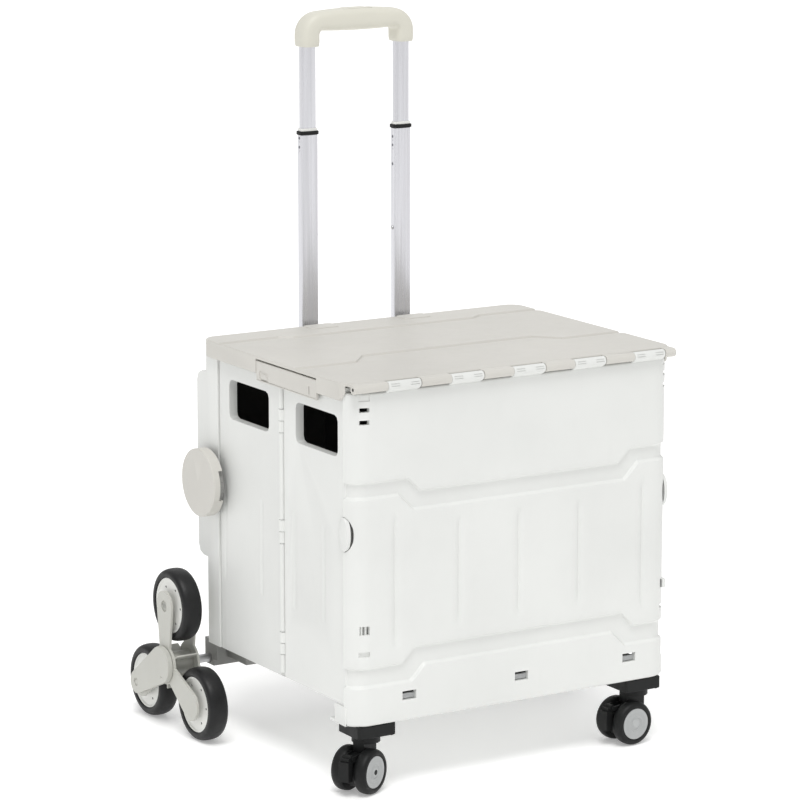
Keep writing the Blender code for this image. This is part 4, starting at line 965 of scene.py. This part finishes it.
# ---------------------------------------------------------------- side locks and buttons
def side_lock(sign, name):
    low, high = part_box(f"lock_knob_{name}")
    centre = (low + high) / 2
    half = (high.x - low.x) / 2
    radius, edge = 0.0390, 0.0014
    profile = [(0.00001, half - 0.0004), (0.0300, half - 0.0002)]
    for k in range(6):
        a = HALF_PI * k / 5
        profile.append((radius - edge + edge * math.sin(a), half - 0.0002 - edge + edge * math.cos(a)))
    profile += [(radius, -half + 0.0008), (radius - 0.0008, -half), (0.0348, -half), (0.0342, -half + 0.0006),
                (0.0342, half - 0.0032), (0.00001, half - 0.0032)]
    knob = turned_object(f"lock_disc_{name}", profile, centre, "X", sign, 128)
    slot = box_object("lock_slot", ((sign * 0.2100, 0.255, 0.2760), (sign * 0.2195, 0.285, 0.3100)))
    carve(knob, (slot,))
    soften(knob, 0.0004, 2, 40.0)
    dress(knob, f"lock_{name}", "beige_plastic", (f"lock_knob_{name}",))
    drum_low, drum_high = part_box(f"lock_drum_{name}")
    drum = from_node(f"lock_drum_{name}", f"lock_core_{name}")
    ribs = []
    bm = bmesh.new()
    for k in range(36):
        angle = 2 * math.pi * k / 36
        spot = Vector((sign * 0.2165, centre.y + 0.0330 * math.cos(angle), centre.z + 0.0330 * math.sin(angle)))
        add_rod(bm, "X", spot, 0.0008, 0.0088, 8)
    ribs.append(new_object("drum_ribs", bm))
    soften(drum, 0.0005)
    joined(drum, *ribs)
    dress(drum, "root", "grey_plastic", (f"lock_drum_{name}",))


def oval_button(sign, name):
    """Domed oval push button with a finger ridge round its edge."""
    low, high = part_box(f"oval_button_{name}")
    centre_y, centre_z = 0.0165, (low.z + high.z) / 2
    half_y, half_z = 0.0099, 0.0186
    outer = abs(high.x if sign > 0 else low.x)
    bm = bmesh.new()
    rings = []
    for reach, height in ((1.0, -0.0070), (1.0, -0.0038), (0.985, -0.0031), (0.95, -0.0026), (0.90, -0.0024), (0.78, -0.0016),
                          (0.62, -0.0009), (0.42, -0.0004), (0.22, -0.0001), (0.0005, 0.0)):
        rings.append([bm.verts.new(at(sign * (outer + height), centre_y + half_y * reach * math.cos(t),
                                      centre_z + half_z * reach * math.sin(t)))
                      for t in (2 * math.pi * k / 64 for k in range(64))])
    for one, other in zip(rings, rings[1:]):
        for i in range(64):
            j = (i + 1) % 64
            bm.faces.new((one[i], one[j], other[j], other[i]))
    bm.faces.new(rings[0])
    bm.faces.new(rings[-1])
    cap = new_object(f"oval_cap_{name}", bm, angle=30.0)
    dress(cap, f"oval_{name}", "white_plastic", (f"oval_button_{name}",))


# ---------------------------------------------------------------- panels, back, floor
def paint_inside_shade(obj, test):
    """Paints shade on the faces that look into the crate: they get the near-black painted-shade material instead of
    their white.
    """
    obj.data.materials.append(PAINTED_INSIDE_SHADE)
    for face in obj.data.polygons:
        if test(face.center, face.normal):
            face.material_index = 1


PANEL_GROOVES = {"front": (0.062, 0.125), "rear": (0.198, 0.281)}      # depths of the grooves on the side panels
PANEL_GROOVE_Z = (0.172, 0.300)
PANEL_FACE = 0.206
HUB_HOLES, HUB_HOLE_RING, HUB_HOLE_RADIUS = 6, 0.0225, 0.0015
SLEEVES = ((0.1040, 0.1245), (0.1507, 0.2506), (0.2779, 0.3751), (0.4020, 0.4340))


def side_panels(sign, name):
    """Side panels with shallow upright grooves, and the sleeve that hides the middle hinge's pin."""
    radius, tip, depth, taper = 0.0120, 0.0106, 0.0009, 0.012
    low_z, high_z = PANEL_GROOVE_Z
    length = high_z - low_z
    spindle = ((0.00001, 0.0), (tip, 0.0), (radius, taper), (radius, length - taper), (tip, length), (0.00001, length))
    for kind, depths in PANEL_GROOVES.items():
        node = f"side_{kind}_{name}"
        grooves = [turned_object("panel_groove", spindle, at(sign * (PANEL_FACE + radius - depth), back, low_z), "Z", 1, 96)
                   for back in depths]
        panel = from_node(node)
        carve(panel, grooves)
        soften(panel, 0.0007, 3)
        if kind == "rear":
            pin_low, pin_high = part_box(f"middle_hinge_pin_{name}")
            pin = (pin_low + pin_high) / 2
            sleeves = [rod_object("hinge_sleeve", "Z", (pin.x, pin.y - FACE, (a + b) / 2), 0.0034, b - a, 32)
                       for a, b in SLEEVES]
            joined(panel, *(soften(sleeve, 0.0004) for sleeve in sleeves))
        dress(panel, body_of_node(node), "white_plastic", (node,))
        # painted shade on the panel's inner faces
        paint_inside_shade(panel, lambda c, n: n.x * sign < -0.7 and abs(c.x) < 0.2045)


def rest_of_body():
    back = softened_node("back_shell", "white_plastic", 0.0008, 3)
    # painted shade on the back shell's inner faces
    paint_inside_shade(back, lambda c, n: n.y < -0.7 and c.y > FACE + 0.30)
    floor = softened_node("floor_board", "white_plastic", 0.0005, 2)
    # painted shade on the floor board's upper faces inside the crate
    paint_inside_shade(floor, lambda c, n: n.z > 0.7)
    softened_node("rear_axle_bracket", "grey_plastic", 0.0008, 2)
    softened_node("front_tie_bar", "grey_plastic", 0.0004, 2, look=CAP_GREY)
    for node in ("axle", "lid_hinge_rod", *(f"{k}_hinge_pin_{s}" for k in ("front", "middle", "rear") for _, s in SIDES)):
        NODES[node].data.materials.clear()
        NODES[node].data.materials.append(LOOKS["steel"])


front = front_shell()
# painted shade on the front shell's inner faces
paint_inside_shade(front, lambda c, n: n.y > 0.7 and c.y > FACE + 0.0034 and c.z > 0.105)
hinge_clips()
lid()
latches()
handle()
grip()
rest_of_body()
for side_sign, side_name in SIDES:
    side_panels(side_sign, side_name)
    stair_wheels(side_sign, side_name)
    hub_cap(side_sign, side_name, *spider(side_sign, side_name))
    caster_mounts(side_sign, side_name)
    caster_wheels(side_name)
    side_lock(side_sign, side_name)
    oval_button(side_sign, side_name)


# ---------------------------------------------------------------- floor, light and camera
def studio():
    n = Nodes("studio_floor")
    tone = n.noise(1.5, 2.0).outputs["Fac"]
    n.put(n.shader.inputs["Base Color"], n.mix(tone, (0.89, 0.89, 0.885, 1.0), (0.91, 0.91, 0.905, 1.0)))
    n.shader.inputs["Roughness"].default_value = 0.6
    n.shader.inputs["Specular IOR Level"].default_value = 0.2
    n.shader.inputs["Emission Color"].default_value = (1.0, 1.0, 1.0, 1.0)
    n.shader.inputs["Emission Strength"].default_value = 0.28
    bm = bmesh.new()
    bmesh.ops.create_grid(bm, x_segments=4, y_segments=4, size=14.0)
    floor = new_object("studio_floor_sheet", bm, flat=True)
    floor.data.materials.append(n.material)

    world = bpy.data.worlds.new("studio")
    bpy.context.scene.world = world
    world.use_nodes = True
    world.node_tree.nodes["Background"].inputs["Color"].default_value = (1.0, 1.0, 1.0, 1.0)
    world.node_tree.nodes["Background"].inputs["Strength"].default_value = 0.60

    for label, toward, strength, spread in (("key", (-0.23, -0.36, 0.90), 1.60, 26.0), ("rim", (0.5, 0.6, 0.62), 0.25, 60.0)):
        light = bpy.data.lights.new(label, "SUN")
        light.energy = strength
        light.angle = math.radians(spread)
        holder = bpy.data.objects.new(label, light)
        bpy.context.scene.collection.objects.link(holder)
        holder.location = Vector(toward) * 3
        holder.rotation_euler = (-Vector(toward)).to_track_quat("-Z", "Y").to_euler()


def camera():
    lens = bpy.data.cameras.new("camera")
    lens.lens, lens.sensor_width = 163.6, 36.0
    holder = bpy.data.objects.new("camera", lens)
    bpy.context.scene.collection.objects.link(holder)
    holder.location = (-2.1256, -3.4414, 1.2012)
    holder.rotation_euler = (math.radians(90 - 11.49), 0.0, math.radians(-31.49))
    bpy.context.scene.camera = holder


studio()
camera()
bpy.context.scene.view_settings.view_transform = "Standard"
